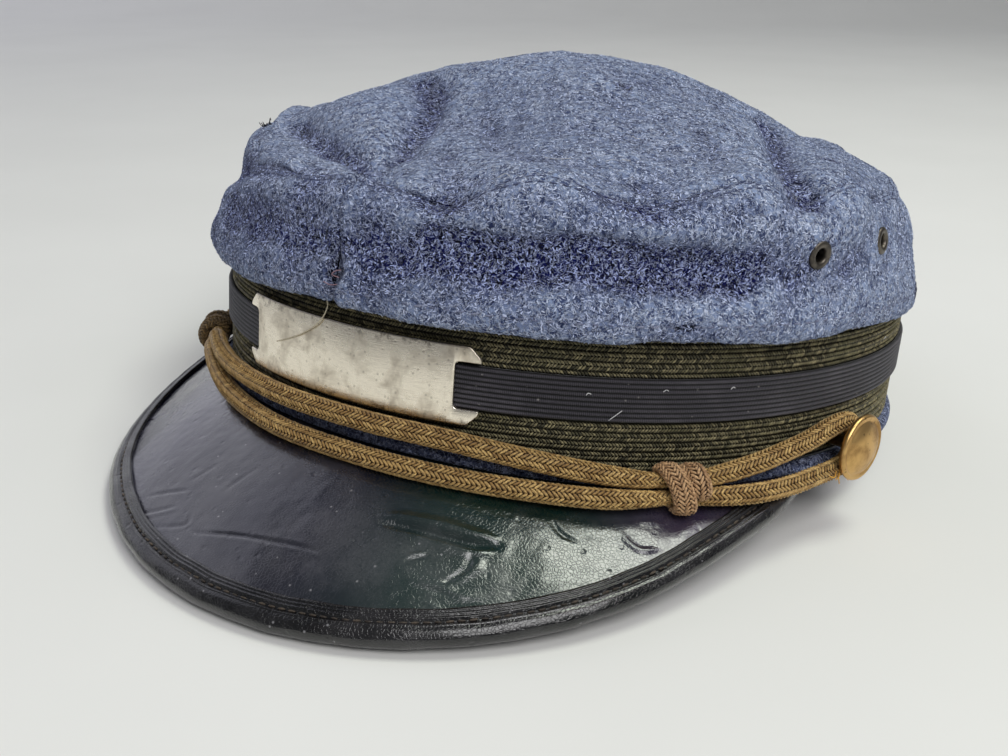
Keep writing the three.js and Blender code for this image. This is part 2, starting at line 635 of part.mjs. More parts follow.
// Angles of one side panel's sections, from seam to seam
function sideAngles(side) {
  return side > 0 ? steps(SIDE_STEPS, FRONT_SEAM, BACK_SEAM) : steps(SIDE_STEPS, BACK_SEAM, 360 + FRONT_SEAM);
}

function crownSide(side) {
  const angles = sideAngles(side);
  angles[0] += SEAM_ANGLE;
  angles[SIDE_STEPS] -= SEAM_ANGLE;
  const loops = angles.map((angle) => crownLoop(angle, 0, EDGE_AT - SEAM_SHARE, SIDE_ROWS));
  const holes = EYELETS.filter((eyelet) => Math.sign(eyelet.angle) === side);
  return cut(loft(loops, false), holes.map(eyeletTool));
}

function tearTool() {
  const hole = new THREE.CylinderGeometry(0.5, 0.5, CUT_THROUGH, TEAR.sides);
  hole.scale(TEAR.length, 1, TEAR.width);
  hole.rotateY(rad(TEAR.slant));
  return standOut(hole, crownPoint(TEAR.angle, TEAR.along), crownNormal(TEAR.angle, TEAR.along));
}

function crownTop() {
  const angles = [...sideAngles(1).slice(1), ...sideAngles(-1).slice(1)];
  const panel = loft(angles.map((angle) => crownLoop(angle, EDGE_AT + SEAM_SHARE, 1, TOP_ROWS)), true);
  return cut(panel, [tearTool()]);
}

function eyeletRing(eyelet) {
  const profile = [
    [EYELET_BORE, -EYELET_REACH], [EYELET_BARREL, -EYELET_REACH],
    [EYELET_BARREL, EYELET_LIFT], [EYELET_FLANGE, EYELET_LIFT],
    [EYELET_FLANGE, EYELET_LIFT + EYELET_EDGE_WALL], [EYELET_BARREL, EYELET_LIFT + EYELET_FLANGE_WALL],
    [EYELET_BORE, EYELET_LIFT + EYELET_EDGE_WALL], [EYELET_BORE, -EYELET_REACH],
  ].map(([x, y]) => new THREE.Vector2(x, y));
  const ring = new THREE.LatheGeometry(profile, EYELET_SIDES);
  return standOut(ring, crownPoint(eyelet.angle, eyelet.up), crownNormal(eyelet.angle, eyelet.up));
}

const pieces = [
  ['crown_top', crownTop(), WOOL],
  ['crown_side_left', crownSide(1), WOOL],
  ['crown_side_right', crownSide(-1), WOOL],
  ['band', loft(roundAngles(ROUND_STEPS).map(bandLoop), true), BRAID],
  ['ribbon', loft(roundAngles(ROUND_STEPS).map(ribbonLoop), true), CORDED_RIBBON],
  ['badge', badgePlate(), NICKEL],
  ['band_welt', loft(roundAngles(ROUND_STEPS).map(weltLoop), true), WOOL],
  ['visor', loft(steps(VISOR_STEPS, -VISOR_REACH, VISOR_REACH).map(visorLoop), false), PATENT],
  ['visor_binding', loft(steps(VISOR_STEPS, -VISOR_REACH, VISOR_REACH).map(bindingLoop), false), PATENT],
  ['chin_cord', loft(cordLoops(), true), GOLD_BRAID],
  ['knot_left', loft(knotLoops(KNOT_LEFT_ANGLE), true), GOLD_BRAID],
  ['knot_right', loft(knotLoops(KNOT_RIGHT_ANGLE), true), GOLD_BRAID],
  ['button_left', button(1), BRASS],
  ['button_right', button(-1), BRASS],
  ...EYELETS.map((eyelet) => [eyelet.name, eyeletRing(eyelet), DARK_METAL]),
];

// Tip the cap back until the visor and the band meet the surface, and press flat what lies below it
const tipped = new THREE.Matrix4().makeRotationX(rad(-REST_TILT));
const whole = new THREE.Box3();
pieces.forEach(([, geometry]) => {
  geometry.applyMatrix4(tipped);
  geometry.computeBoundingBox();
  whole.union(geometry.boundingBox);
});
const middle = whole.getCenter(new THREE.Vector3());

const cap = new THREE.Group();
pieces.forEach(([name, geometry, material]) => {
  geometry.translate(-middle.x, -middle.y, -whole.min.z - REST_SQUASH);
  const position = geometry.getAttribute('position');
  for (let i = 0; i < position.count; i++) position.setZ(i, Math.max(position.getZ(i), 0));
  geometry.computeVertexNormals();
  const mesh = new THREE.Mesh(geometry, material);
  mesh.name = name;
  cap.add(mesh);
});

export default cap;
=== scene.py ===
"""Looks of a worn railroad conductor's cap: wool crown, braided band, patent visor and looped chin cord."""
import math

import bmesh
import bpy
import numpy as np
from mathutils import Matrix, Vector


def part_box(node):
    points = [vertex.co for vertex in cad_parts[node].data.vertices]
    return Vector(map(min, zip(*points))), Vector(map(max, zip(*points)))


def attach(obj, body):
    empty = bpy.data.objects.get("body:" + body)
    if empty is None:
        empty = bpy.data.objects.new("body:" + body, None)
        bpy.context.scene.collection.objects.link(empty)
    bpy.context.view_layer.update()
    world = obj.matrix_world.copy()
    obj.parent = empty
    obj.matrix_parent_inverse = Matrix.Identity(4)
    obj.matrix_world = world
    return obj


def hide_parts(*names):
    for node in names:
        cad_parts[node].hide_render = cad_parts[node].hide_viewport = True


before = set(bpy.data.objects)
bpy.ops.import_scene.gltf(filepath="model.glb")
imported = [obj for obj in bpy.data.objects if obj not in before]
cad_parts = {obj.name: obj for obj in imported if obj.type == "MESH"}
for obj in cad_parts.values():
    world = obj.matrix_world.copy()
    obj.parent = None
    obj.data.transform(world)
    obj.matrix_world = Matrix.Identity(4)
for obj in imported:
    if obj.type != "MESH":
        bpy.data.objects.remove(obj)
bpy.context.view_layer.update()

# Lengths are millimetres and angles degrees, on the cap standing upright on its band: +Z up, visor towards
# -Y, the wearer's left towards +X. Angles run from the front round by the wearer's left.
MM = 0.001
SEED = 11
GAP = 0.3
REST_TILT = 6.55
TINY = 1e-9
WELD_REACH, SPECK = 0.002 * MM, 0.001 * MM
RIPPLE_WAVES, RIPPLE_SPREAD = 7, (0.7, 1.4)

BAND_HALF_WIDTH = 93.5
BAND_HALF_LENGTH = 98.0
BAND_TOP = 34.7
BAND_WALL = 2.4
RIBBON_BOTTOM = 15.6
RIBBON_WIDTH = 9.8
RIBBON_WALL = 1.0
WELT_RADIUS = 1.6
WELT_OUT = 0.3
WELT_HEIGHT = 1.6
WELT_FRONT_RISE = 2.8
WELT_RISE_ANGLE = 34.0

# Crown: control rows every 22.5 degrees, as steps out from the band and rises above it
CROWN_ROWS = [
    dict(roll=6, hollow=3.5, shoulder=6, edge=0.5, rise=27.5, outer=25.5, inner=37),
    dict(roll=7, hollow=1, shoulder=8.5, edge=1, rise=28.5, outer=34, inner=42.5),
    dict(roll=7, hollow=1, shoulder=8.5, edge=1, rise=30, outer=35.5, inner=43.5),
    dict(roll=6, hollow=3, shoulder=5, edge=0.5, rise=33.5, outer=37, inner=44),
    dict(roll=4, hollow=1, shoulder=-2, edge=-2.5, rise=32.5, outer=37, inner=46),
    dict(roll=1.5, hollow=0, shoulder=-3.5, edge=-5, rise=26, outer=31, inner=49.5),
    dict(roll=4.5, hollow=3, shoulder=2.5, edge=-3, rise=31, outer=31, inner=49),
    dict(roll=6, hollow=4.5, shoulder=6, edge=1.5, rise=34, outer=36, inner=46),
    dict(roll=6, hollow=3.5, shoulder=6, edge=0.5, rise=32, outer=37, inner=44),
    dict(roll=6.5, hollow=2.5, shoulder=6.5, edge=0.5, rise=30, outer=34.5, inner=44),
    dict(roll=6, hollow=4, shoulder=5, edge=-1, rise=32, outer=37, inner=45),
    dict(roll=6.5, hollow=3, shoulder=6, edge=0, rise=31, outer=35, inner=44.5),
    dict(roll=6, hollow=4, shoulder=7, edge=0.5, rise=32, outer=37, inner=47),
    dict(roll=6, hollow=2, shoulder=6.5, edge=-1, rise=28.5, outer=38.5, inner=50),
    dict(roll=6, hollow=0, shoulder=-2.5, edge=-4, rise=17, outer=37, inner=47),
    dict(roll=6, hollow=2.5, shoulder=2, edge=-2, rise=24, outer=26, inner=37.5),
]
ROLL_SHARE, HOLLOW_SHARE, SHOULDER_SHARE = 0.22, 0.47, 0.74
OUTER_RING, INNER_RING, CENTRE_RING = 0.74, 0.42, 0.16
CENTRE_RISE = 55.0
FOOT_OUT, LIP_OUT, LIP_RISE = -2.0, 1.6, 0.9
SAG, SAG_OUT, SAG_SHARE, ROLL_FULLNESS = 3.2, 0.8, 0.7, 0.6
EDGE_AT = 0.625
EDGE_TALL = 0.066
# Waves, dents and puckers: angle, share of the way up, width, tallness, lift and push outwards
CROWN_FOLDS = [
    (-44, EDGE_AT, 8, EDGE_TALL, -2.5, -1), (-2, EDGE_AT, 7, EDGE_TALL, 1.4, 0),
    (13.5, EDGE_AT, 5.5, EDGE_TALL, -4.2, -1.5), (26, EDGE_AT, 6, EDGE_TALL, 3.4, 1),
    (39.5, EDGE_AT, 5, EDGE_TALL, -2.6, -1), (53, EDGE_AT, 5, EDGE_TALL, 2.2, 0.5),
    (62, EDGE_AT, 4, EDGE_TALL, -2.8, -1.5), (74, EDGE_AT, 6, EDGE_TALL, 2.6, 0.5),
    (150, EDGE_AT, 7, EDGE_TALL, 2, 0.5), (-42, 0.85, 13, 0.05, -2.4, 0), (85, 0.76, 12, 0.06, -1.6, 0),
    (205, EDGE_AT, 6, EDGE_TALL, -2.5, -1), (262, EDGE_AT, 7, EDGE_TALL, -2.5, -1),
]
CROWN_WALL = 2.0
FRONT_SEAM, BACK_SEAM = 0.2, 180.0
# Soft folds on top of those: height, half width, and the way they run by angle and share of the way up
SOFT_FOLDS = [
    (-3.4, 4.2, [(-56, 0.69), (-50, 0.70), (-43, 0.712), (-26, 0.729), (-14, 0.726), (0, 0.675)]),
    (-3.0, 5.0, [(-56, 0.85), (-35, 0.853), (-19, 0.81), (-8, 0.747)]),
    (1.2, 6.0, [(-48, 0.78), (-32, 0.785), (-18, 0.765)]),
    (2.2, 4.5, [(-54, 0.625), (-45, 0.635), (-32, 0.645), (-19, 0.645)]),
    (1.3, 6.0, [(22, 0.674), (8, 0.761), (-6, 0.811)]),
    (-3.0, 4.5, [(104, 0.82), (97.5, 0.804), (78, 0.759), (66, 0.674), (64.5, 0.61)]),
    (1.4, 5.0, [(65, 0.776), (61, 0.707), (58, 0.655)]),
    (-2.4, 5.0, [(14, 0.448), (24.5, 0.443), (31.5, 0.45), (41, 0.4), (51, 0.355)]),
    (0.8, 4.0, [(28, 0.277), (41, 0.274), (54, 0.264)]),
    (-3.0, 3.4, [(-60, 0.516), (-53, 0.526), (-45, 0.537), (-31, 0.557)]),
    (1.4, 4.0, [(-40, 0.5), (-26, 0.535), (-12, 0.55)]),
    (-2.8, 7.0, [(74, 0.625), (84, 0.615), (94, 0.61), (108, 0.625)]),
    (-1.9, 14.0, [(86, 0.5), (97, 0.4), (104, 0.28)]),
    (-1.8, 11.0, [(71, 0.935), (90, 0.9), (92, 0.85), (97, 0.8)]),
    (1.9, 5.0, [(-49, 0.41), (-43, 0.41), (-34, 0.4)]),
    (1.7, 4.2, [(-74, 0.58), (-64, 0.582), (-56, 0.584)]),
    (-2.9, 1.9, [(-60, 0.626), (-66, 0.624), (-72, 0.622), (-80, 0.62)]),
    (2.4, 2.0, [(-56, 0.647), (-64, 0.645), (-72, 0.643), (-82, 0.641)]),
]
NARROW_FOLD, FOLD_FADE, FOLD_STEPS = 4.0, 4.0, 4
SPOT_TURN, SPOT_STEP = 0.5, 0.004
EYELETS = {"eyelet_left_front": (63.5, 0.414), "eyelet_left_back": (79, 0.431),
           "eyelet_right_front": (-63.5, 0.414), "eyelet_right_back": (-79, 0.431)}
EYELET_LIFT = 0.2
EYELET_PUFF, EYELET_PUFF_AT, EYELET_PUFF_WIDE = 0.45, 4.4, 1.4
EYELET_CUT = 2.15

VISOR_WALL = 2.4
VISOR_DEPTH = 50.8
VISOR_HALF_ANGLE = 71.5
VISOR_SLOPE, VISOR_SIDE_SLOPE = 34.4, 8.0
VISOR_DROP, VISOR_SEAT = 0.5, 0.55
VISOR_TIP_ROUND, VISOR_FULLNESS, VISOR_BULGE = 0.2, 0.85, 1.6
VISOR_REACH = 0.92
# Where the visor has spread or been pushed back: place across, width and millimetres
VISOR_BENDS = [(-0.48, 0.18, 2.2), (0.0, 0.18, -1.8), (0.74, 0.2, -3.4)]
BINDING_WIDTH = 5.8

CORD_RADIUS, CORD_PINCH = 2.35, 1.6
# Chin cord in front: angle, then height and distance out of the upper run and of the lower run
CORD_ROUTE = [
    (-64, 7.6, 4.2, 1.7, 6.6), (-57, 6.1, 5, 2.3, 6.9), (-52, 5.8, 5.2, 2.5, 7), (-47, 6, 5, 3, 6.3),
    (-41, 8.2, 4, 3.4, 5.3), (-35, 8.4, 3.9, 3.2, 5), (-25, 8.5, 3.9, 2.3, 5.2), (-10, 9.2, 4.5, 2, 6.1),
    (5, 9.6, 4.6, 2, 6.2), (17, 9.1, 4.4, 1.5, 6.4), (28, 7, 4.2, 1, 6.8), (37, 5, 4.8, 0.6, 7.6),
    (42, 4.2, 5.2, 0.6, 7.4), (46, 4, 5.3, 0.8, 7.2), (50, 4.2, 5.2, 0.6, 7.2), (58, 6.2, 4.2, 0.7, 7.8),
    (66, 9, 3.6, 1.3, 6.6),
]
KNOT_LEFT, KNOT_RIGHT = 46.0, -52.0
BUTTON_ANGLE, BUTTON_HEIGHT = 74.6, 7.2
BUTTON_LOOP = 4.9
LOOP_TURNS = [(60, 3.2), (0, 3.8), (-60, 4.8)]

BADGE_HALF_ANGLE, BADGE_BOTTOM, BADGE_HEIGHT = 20.7, 12.1, 17.8
BADGE_OUT, BADGE_WALL, BADGE_CHAMFER = 1.6, 0.8, 2.6
NOTCH_HEIGHT = 10.6
NOTCH_DEPTHS = (4.0, 6.0)


# Shapes

UP = np.array([0.0, 0.0, 1.0])


def bell(x):
    """A smooth bump: 1 in the middle, next to nothing two widths away."""
    return np.exp(-np.square(x))


def full_turn(count):
    """Angles all the way round, in radians."""
    return np.linspace(0, 2 * math.pi, count, endpoint=False)


def turn(start, end):
    """Angle from start to end, between -180 and 180."""
    return (np.asarray(end, float) - start + 540) % 360 - 180


def unit(vectors):
    length = np.linalg.norm(vectors, axis=-1, keepdims=True)
    return vectors / np.maximum(length, TINY)


def oval_out(angle):
    """The way the band faces."""
    a = np.radians(np.asarray(angle, float))
    return unit(np.stack([np.sin(a) / BAND_HALF_WIDTH, -np.cos(a) / BAND_HALF_LENGTH, 0 * a], -1))


def on_oval(angle, out, height):
    """A point at that height, that far out from the band's outer wall."""
    angle, out, height = np.broadcast_arrays(*(np.asarray(v, float) for v in (angle, out, height)))
    a = np.radians(angle)
    wall = np.stack([BAND_HALF_WIDTH * np.sin(a), -BAND_HALF_LENGTH * np.cos(a), height], -1)
    return wall + oval_out(angle) * out[..., None]


def ripple(points, wavelength, height, seed):
    """Soft unevenness: waves in random directions added up."""
    draw = np.random.default_rng(seed)
    total = np.zeros(points.shape[:-1])
    for _ in range(RIPPLE_WAVES):
        way = unit(draw.normal(size=3)) * 2 * math.pi / (wavelength * draw.uniform(*RIPPLE_SPREAD))
        total += np.sin(points @ way + draw.uniform(0, 2 * math.pi))
    return total * height / math.sqrt(RIPPLE_WAVES / 2)


def smooth_path(points, per_span, closed=False):
    """A smooth line through the points."""
    points = np.asarray(points, float)
    before = points[-1:] if closed else 2 * points[:1] - points[1:2]
    after = points[:2] if closed else 2 * points[-1:] - points[-2:-1]
    padded = np.concatenate([before, points, after])
    steps = np.cumsum(np.linalg.norm(np.diff(padded, axis=0), axis=1) ** 0.5)
    knots = np.concatenate([[0], steps])
    spans = len(points) if closed else len(points) - 1
    line = []
    for i in range(spans):
        p, k = padded[i:i + 4], knots[i:i + 4]
        t = np.linspace(k[1], k[2], per_span, endpoint=False)[:, None]
        a = [(p[j] * (k[j + 1] - t) + p[j + 1] * (t - k[j])) / (k[j + 1] - k[j]) for j in range(3)]
        b = [(a[j] * (k[j + 2] - t) + a[j + 1] * (t - k[j])) / (k[j + 2] - k[j]) for j in range(2)]
        line.append((b[0] * (k[2] - t) + b[1] * (t - k[1])) / (k[2] - k[1]))
    if not closed:
        line.append(points[-1:])
    return np.concatenate(line)


def evenly(loop, count):
    """A closed line again, with that many points evenly spaced."""
    line = np.concatenate([loop, loop[:1]])
    far = np.concatenate([[0], np.cumsum(np.linalg.norm(np.diff(line, axis=0), axis=1))])
    places = np.linspace(0, far[-1], count, endpoint=False)
    return np.stack([np.interp(places, far, line[:, k]) for k in range(3)], -1)


def crown_controls():
    """Control points: share of the way out to the band, step out from it and rise."""
    grid = []
    for row in CROWN_ROWS:
        roll, rise = row["roll"], row["rise"]
        grid.append([
            (1, FOOT_OUT, 0), (1, LIP_OUT, LIP_RISE), (1, roll * SAG_SHARE + SAG_OUT, -SAG),
            (1, roll + ROLL_FULLNESS, ROLL_SHARE * rise), (1, row["hollow"], HOLLOW_SHARE * rise),
            (1, row["shoulder"], SHOULDER_SHARE * rise), (1, row["edge"], rise),
            (OUTER_RING, 0, row["outer"]), (INNER_RING, 0, row["inner"]),
            (CENTRE_RING, 0, CENTRE_RISE), (0, 0, CENTRE_RISE)])
    return np.array(grid, float)


CROWN_GRID = crown_controls()


def row_weights(angle):
    """How much of each control row an angle takes, as a closed cubic spline."""
    count = len(CROWN_ROWS)
    place = (np.asarray(angle, float) % 360) / (360 / count)
    first = np.floor(place).astype(int)
    u = place - first
    near = [(1 - u) ** 3, 3 * u ** 3 - 6 * u ** 2 + 4, -3 * u ** 3 + 3 * u ** 2 + 3 * u + 1, u ** 3]
    weights = np.zeros((len(u), count))
    for k, share in enumerate(near):
        weights[np.arange(len(u)), (first + k - 1) % count] += share / 6
    return weights


def column_weights(along):
    """How much of each control point in a row a place takes, as a clamped cubic spline."""
    columns, degree = CROWN_GRID.shape[1], 3
    spans = columns - degree
    knots = np.clip(np.arange(columns + degree + 1) - degree, 0, spans) / spans
    t = np.clip(np.asarray(along, float), 0, 1 - TINY)[:, None]
    weights = ((t >= knots[:-1]) & (t < knots[1:])).astype(float)
    for d in range(1, degree + 1):
        left = np.maximum(knots[d:-1] - knots[:-d - 1], TINY)
        right = np.maximum(knots[d + 1:] - knots[1:-d], TINY)
        rising = (t - knots[:-d - 1]) / left * weights[:, :-1]
        falling = (knots[d + 1:] - t) / right * weights[:, 1:]
        weights = rising + falling
    return weights


def crown(angles, alongs):
    """The crown's outside: along runs from 0 at the band to 1 in the middle of the top."""
    angles, alongs = np.asarray(angles, float), np.asarray(alongs, float)
    shape = np.einsum("ar,rck,bc->abk", row_weights(angles), CROWN_GRID, column_weights(alongs))
    for angle, along, wide, tall, lift, push in CROWN_FOLDS:
        share = bell(turn(angle, angles) / wide)[:, None] * bell((alongs - along) / tall)[None]
        shape[..., 2] += lift * share
        shape[..., 1] += push * share
    round_about = angles[:, None] + 0 * alongs[None]
    points = on_oval(round_about, 0, 0) * shape[..., :1] + oval_out(round_about) * shape[..., 1:2]
    points[..., 2] = BAND_TOP + GAP + shape[..., 2]
    return points


def sheet_normals(points):
    return unit(np.cross(np.gradient(points, axis=0), np.gradient(points, axis=1)))


def to_line(points, line):
    """Distance from points to a line, and the share of the way along it where it is nearest."""
    nearest, place = np.full(points.shape[:-1], np.inf), np.zeros(points.shape[:-1])
    spans = len(line) - 1
    for i in range(spans):
        way = line[i + 1] - line[i]
        share = np.clip(((points - line[i]) @ way) / (way @ way), 0, 1)
        gap = np.linalg.norm(points - line[i] - share[..., None] * way, axis=-1)
        place = np.where(gap < nearest, (i + share) / spans, place)
        nearest = np.minimum(nearest, gap)
    return nearest, place


def crown_line(route):
    places = smooth_path([(angle, along, 0) for angle, along in route], FOLD_STEPS)
    return np.array([crown([angle], [along])[0, 0] for angle, along, _ in places])


SOFT_LINES = [(height, wide, crown_line(route)) for height, wide, route in SOFT_FOLDS]


def soft_relief(points):
    """How far the soft folds lift or sink the cloth. Narrow ones fade out towards their ends."""
    total = 0
    for height, wide, line in SOFT_LINES:
        gap, place = to_line(points, line)
        ends = np.clip(FOLD_FADE * np.minimum(place, 1 - place), 0, 1) if wide < NARROW_FOLD else 1
        total = total + height * ends * bell(gap / wide)
    return total


def crown_spot(angle, along):
    """A place on the crown and the way it faces."""
    patch = crown([angle - SPOT_TURN, angle, angle + SPOT_TURN],
                  [along - SPOT_STEP, along, along + SPOT_STEP])
    way = sheet_normals(patch)[1, 1]
    return patch[1, 1] + way * soft_relief(patch[1, 1]), way


def welt_height(angle):
    return WELT_HEIGHT + WELT_FRONT_RISE * bell(turn(0, angle) / WELT_RISE_ANGLE)


def visor(across, along):
    """The visor's middle layer: across from -1 to 1, along from 0 at the band to 1 at the edge."""
    across, along = np.broadcast_arrays(np.asarray(across, float), np.asarray(along, float))
    tip = VISOR_TIP_ROUND
    fall = (np.hypot(across, tip) - tip) / (math.hypot(1, tip) - tip)
    depth = VISOR_DEPTH * np.maximum(1 - fall, 0) ** VISOR_FULLNESS
    depth = depth + sum(far * bell((across - at) / wide) for at, wide, far in VISOR_BENDS)
    angle = VISOR_HALF_ANGLE * across
    slope = np.radians(VISOR_SLOPE + VISOR_SIDE_SLOPE * across ** 2)
    sunk = WELT_RADIUS + VISOR_SEAT + VISOR_WALL / 2
    height = welt_height(angle)
    root = on_oval(angle, WELT_OUT - sunk * np.sin(slope), height - sunk * np.cos(slope))
    edge = on_oval(angle, depth * np.cos(slope), height - VISOR_DROP - depth * np.sin(slope))
    lift = VISOR_BULGE * depth / VISOR_DEPTH * np.sin(math.pi * np.minimum(along, 1))
    points = root + (edge - root) * along[..., None] + oval_out(angle) * (lift * np.sin(slope))[..., None]
    points[..., 2] += lift * np.cos(slope)
    return points


TILT = math.radians(REST_TILT)
TIP = np.array([[1, 0, 0], [0, math.cos(TILT), math.sin(TILT)], [0, -math.sin(TILT), math.cos(TILT)]])
ribbon_middle = np.mean([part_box("ribbon")[0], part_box("ribbon")[1]], axis=0) / MM
REST_SHIFT = ribbon_middle - TIP @ np.array([0, 0, RIBBON_BOTTOM + RIBBON_WIDTH / 2])


def settle(points):
    """From the upright cap in millimetres to the resting cap in metres, pressed flat where it stands."""
    placed = np.asarray(points) @ TIP.T + REST_SHIFT
    placed[..., 2] = np.maximum(placed[..., 2], 0)
    return placed * MM


# Meshes

def sheet_faces(rows, columns):
    index = np.arange(rows * columns).reshape(rows, columns)
    corners = [index[:-1, :-1], index[1:, :-1], index[1:, 1:], index[:-1, 1:]]
    return np.stack(corners, -1).reshape(-1, 4).tolist()


def make_mesh(name, points, faces, uv=None, marks=None, whole=True):
    """A mesh in the resting cap's place, with marks on its points. A whole one is welded."""
    mesh = bpy.data.meshes.new(name)
    mesh.from_pydata(settle(points.reshape(-1, 3)).tolist(), [], faces)
    for label, values in (marks or {}).items():
        layer = mesh.attributes.new(label, "FLOAT", "POINT")
        layer.data.foreach_set("value", values.astype(np.float32).ravel())
    if uv is not None:
        corners = np.zeros(len(mesh.loops), np.int32)
        mesh.loops.foreach_get("vertex_index", corners)
        layer = mesh.uv_layers.new(name="UVMap")
        layer.uv.foreach_set("vector", uv.reshape(-1, 2)[corners].astype(np.float32).ravel())
    if whole:
        weld(mesh)
    mesh.shade_smooth()
    return mesh


def weld(mesh):
    """Joins points that meet, drops specks and turns the faces outwards."""
    work = bmesh.new()
    work.from_mesh(mesh)
    bmesh.ops.remove_doubles(work, verts=work.verts, dist=WELD_REACH)
    bmesh.ops.dissolve_degenerate(work, edges=work.edges, dist=SPECK)
    bmesh.ops.recalc_face_normals(work, faces=work.faces)
    work.to_mesh(mesh)
    work.free()


def joined_up(grid, closed):
    """The grid with its first column again at the end, and its first row too if it is closed."""
    grid = np.concatenate([grid, grid[:, :1]], axis=1)
    return np.concatenate([grid, grid[:1]], axis=0) if closed else grid


def loft(name, loops, closed=True, marks=None):
    """A solid through closed sections. Its UV map is in millimetres along the loft and round the section."""
    loops = joined_up(loops, closed)
    marks = {label: joined_up(values, closed) for label, values in (marks or {}).items()}
    rows, columns = loops.shape[:2]
    faces = sheet_faces(rows, columns)
    if not closed:
        faces.append(list(range(columns - 1)))
        faces.append(list(range((rows - 1) * columns, rows * columns - 1))[::-1])
    steps = np.linalg.norm(np.diff(loops, axis=0), axis=-1).mean(axis=1)
    turns = np.linalg.norm(np.diff(loops, axis=1), axis=-1).mean(axis=0)
    u, v = np.meshgrid(np.append(0, np.cumsum(steps)), np.append(0, np.cumsum(turns)), indexing="ij")
    return make_mesh(name, loops, faces, np.stack([u, v], -1), marks)


def shell(name, outside, inside, closed=False, marks=None):
    """A solid between two sheets with the same rows. Marks are for the outside."""
    hidden = np.zeros(inside.shape[:2])
    marks = {label: np.concatenate([values, hidden], axis=1) for label, values in (marks or {}).items()}
    return loft(name, np.concatenate([outside, inside[:, ::-1]], axis=1), closed, marks)


def path_frames(line):
    """Ways across a closed line that turn as little as they can."""
    tangent = unit(np.roll(line, -1, axis=0) - np.roll(line, 1, axis=0))
    side = unit(np.cross(tangent[0], UP))
    sides = []
    for way in tangent:
        side = unit(side - way * (side @ way))
        sides.append(side)
    sides = np.array(sides)
    last = unit(sides[-1] - tangent[0] * (sides[-1] @ tangent[0]))
    twist = math.atan2(np.cross(sides[0], last) @ tangent[0], sides[0] @ last)
    untwist = -twist * np.arange(len(line)) / len(line)
    other = np.cross(tangent, sides)
    sides = sides * np.cos(untwist)[:, None] + other * np.sin(untwist)[:, None]
    return sides, np.cross(tangent, sides)


def tube_loops(line, radius, sides):
    """Round sections along a closed line, and the ways their points face."""
    across, over = path_frames(line)
    a = full_turn(sides)
    ways = across[:, None] * np.cos(a)[None, :, None] + over[:, None] * np.sin(a)[None, :, None]
    return line[:, None] + ways * radius[:, None, None], ways


def lathe(name, profile, sides, place, way):
    """A turned solid standing on a place. The profile is radius and height."""
    profile = np.asarray(profile, float)
    across = unit(np.cross(way, UP))
    over = np.cross(way, across)
    a = full_turn(sides)
    ring = across * np.cos(a)[:, None] + over * np.sin(a)[:, None]
    points = place + ring[:, None] * profile[None, :, :1] + way * profile[None, :, 1:]
    return loft(name, points)


def lines_mesh(name, lines, ways=None, lean=0.0, closed=False):
    """Lines for sewing along: each with the way its surface faces, and how its stitches lean."""
    points, edges, facing, leans = [], [], [], []
    for i, line in enumerate(lines):
        first, count = len(points), len(line)
        points.extend(line)
        edges.extend((first + k, first + k + 1) for k in range(count - 1))
        if closed:
            edges.append((first + count - 1, first))
        if ways is not None:
            facing.extend(ways[i])
        leans.extend([lean if np.isscalar(lean) else lean[i]] * count)
    mesh = bpy.data.meshes.new(name)
    mesh.from_pydata(settle(np.array(points)).tolist(), edges, [])
    if ways is not None:
        turned = np.array(facing) @ TIP.T
        layer = mesh.attributes.new("face_way", "FLOAT_VECTOR", "POINT")
        layer.data.foreach_set("vector", turned.ravel())
        mesh.attributes.new("lean", "FLOAT", "POINT").data.foreach_set("value", leans)
    return mesh


def temporary(mesh):
    """An object that holds the mesh while it is worked on."""
    holder = bpy.data.objects.new(mesh.name + "_base", mesh)
    bpy.context.scene.collection.objects.link(holder)
    return holder


def finished(holder):
    """The holder's mesh with its modifiers worked in. The holder goes."""
    graph = bpy.context.evaluated_depsgraph_get()
    mesh = bpy.data.meshes.new_from_object(holder.evaluated_get(graph))
    bpy.data.objects.remove(holder)
    return mesh


def cut(mesh, tools):
    """The mesh with holes where the tools stand."""
    work = bmesh.new()
    for tool in tools:
        work.from_mesh(tool)
    joined = bpy.data.meshes.new("holes")
    work.to_mesh(joined)
    work.free()
    holder, tool = temporary(mesh), temporary(joined)
    step = holder.modifiers.new("holes", "BOOLEAN")
    step.operation = "DIFFERENCE"
    step.solver = "EXACT"
    step.object = tool
    made = finished(holder)
    bpy.data.objects.remove(tool)
    return made


def add_piece(name, mesh, slot, material, *nodes):
    """A finished piece on the cap, in place of the nodes that are named."""
    mesh.name = name
    mesh.materials.clear()
    mesh.materials.append(material)
    piece = bpy.data.objects.new(name, mesh)
    bpy.context.scene.collection.objects.link(piece)
    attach(piece, "root")
    if nodes:
        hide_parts(*nodes)


# Node trees

FIBRE_FOOT, FIBRE_TIP = (0, -0.5, 0.02), (0, 0.5, 0.16)
FIBRE_LEANS = (-0.2, -0.35, 0.0), (0.3, 0.35, 2 * math.pi)
FIBRE_LENGTHS = 0.5, 1.4


def node(tree, kind, inputs=None, **settings):
    """A node with its settings made and its inputs set or linked."""
    made = tree.nodes.new(kind)
    for key, value in settings.items():
        setattr(made, key, value)
    for key, value in (inputs or {}).items():
        if isinstance(value, bpy.types.NodeSocket):
            tree.links.new(value, made.inputs[key])
        else:
            made.inputs[key].default_value = value
    return made


def get(tree, kind, inputs=None, **settings):
    """What a new node gives first."""
    return node(tree, kind, inputs, **settings).outputs[0]


def calc(tree, operation, first, second=0.0):
    return get(tree, "ShaderNodeMath", {0: first, 1: second}, operation=operation)


def times(tree, first, second):
    return calc(tree, "MULTIPLY", first, second)


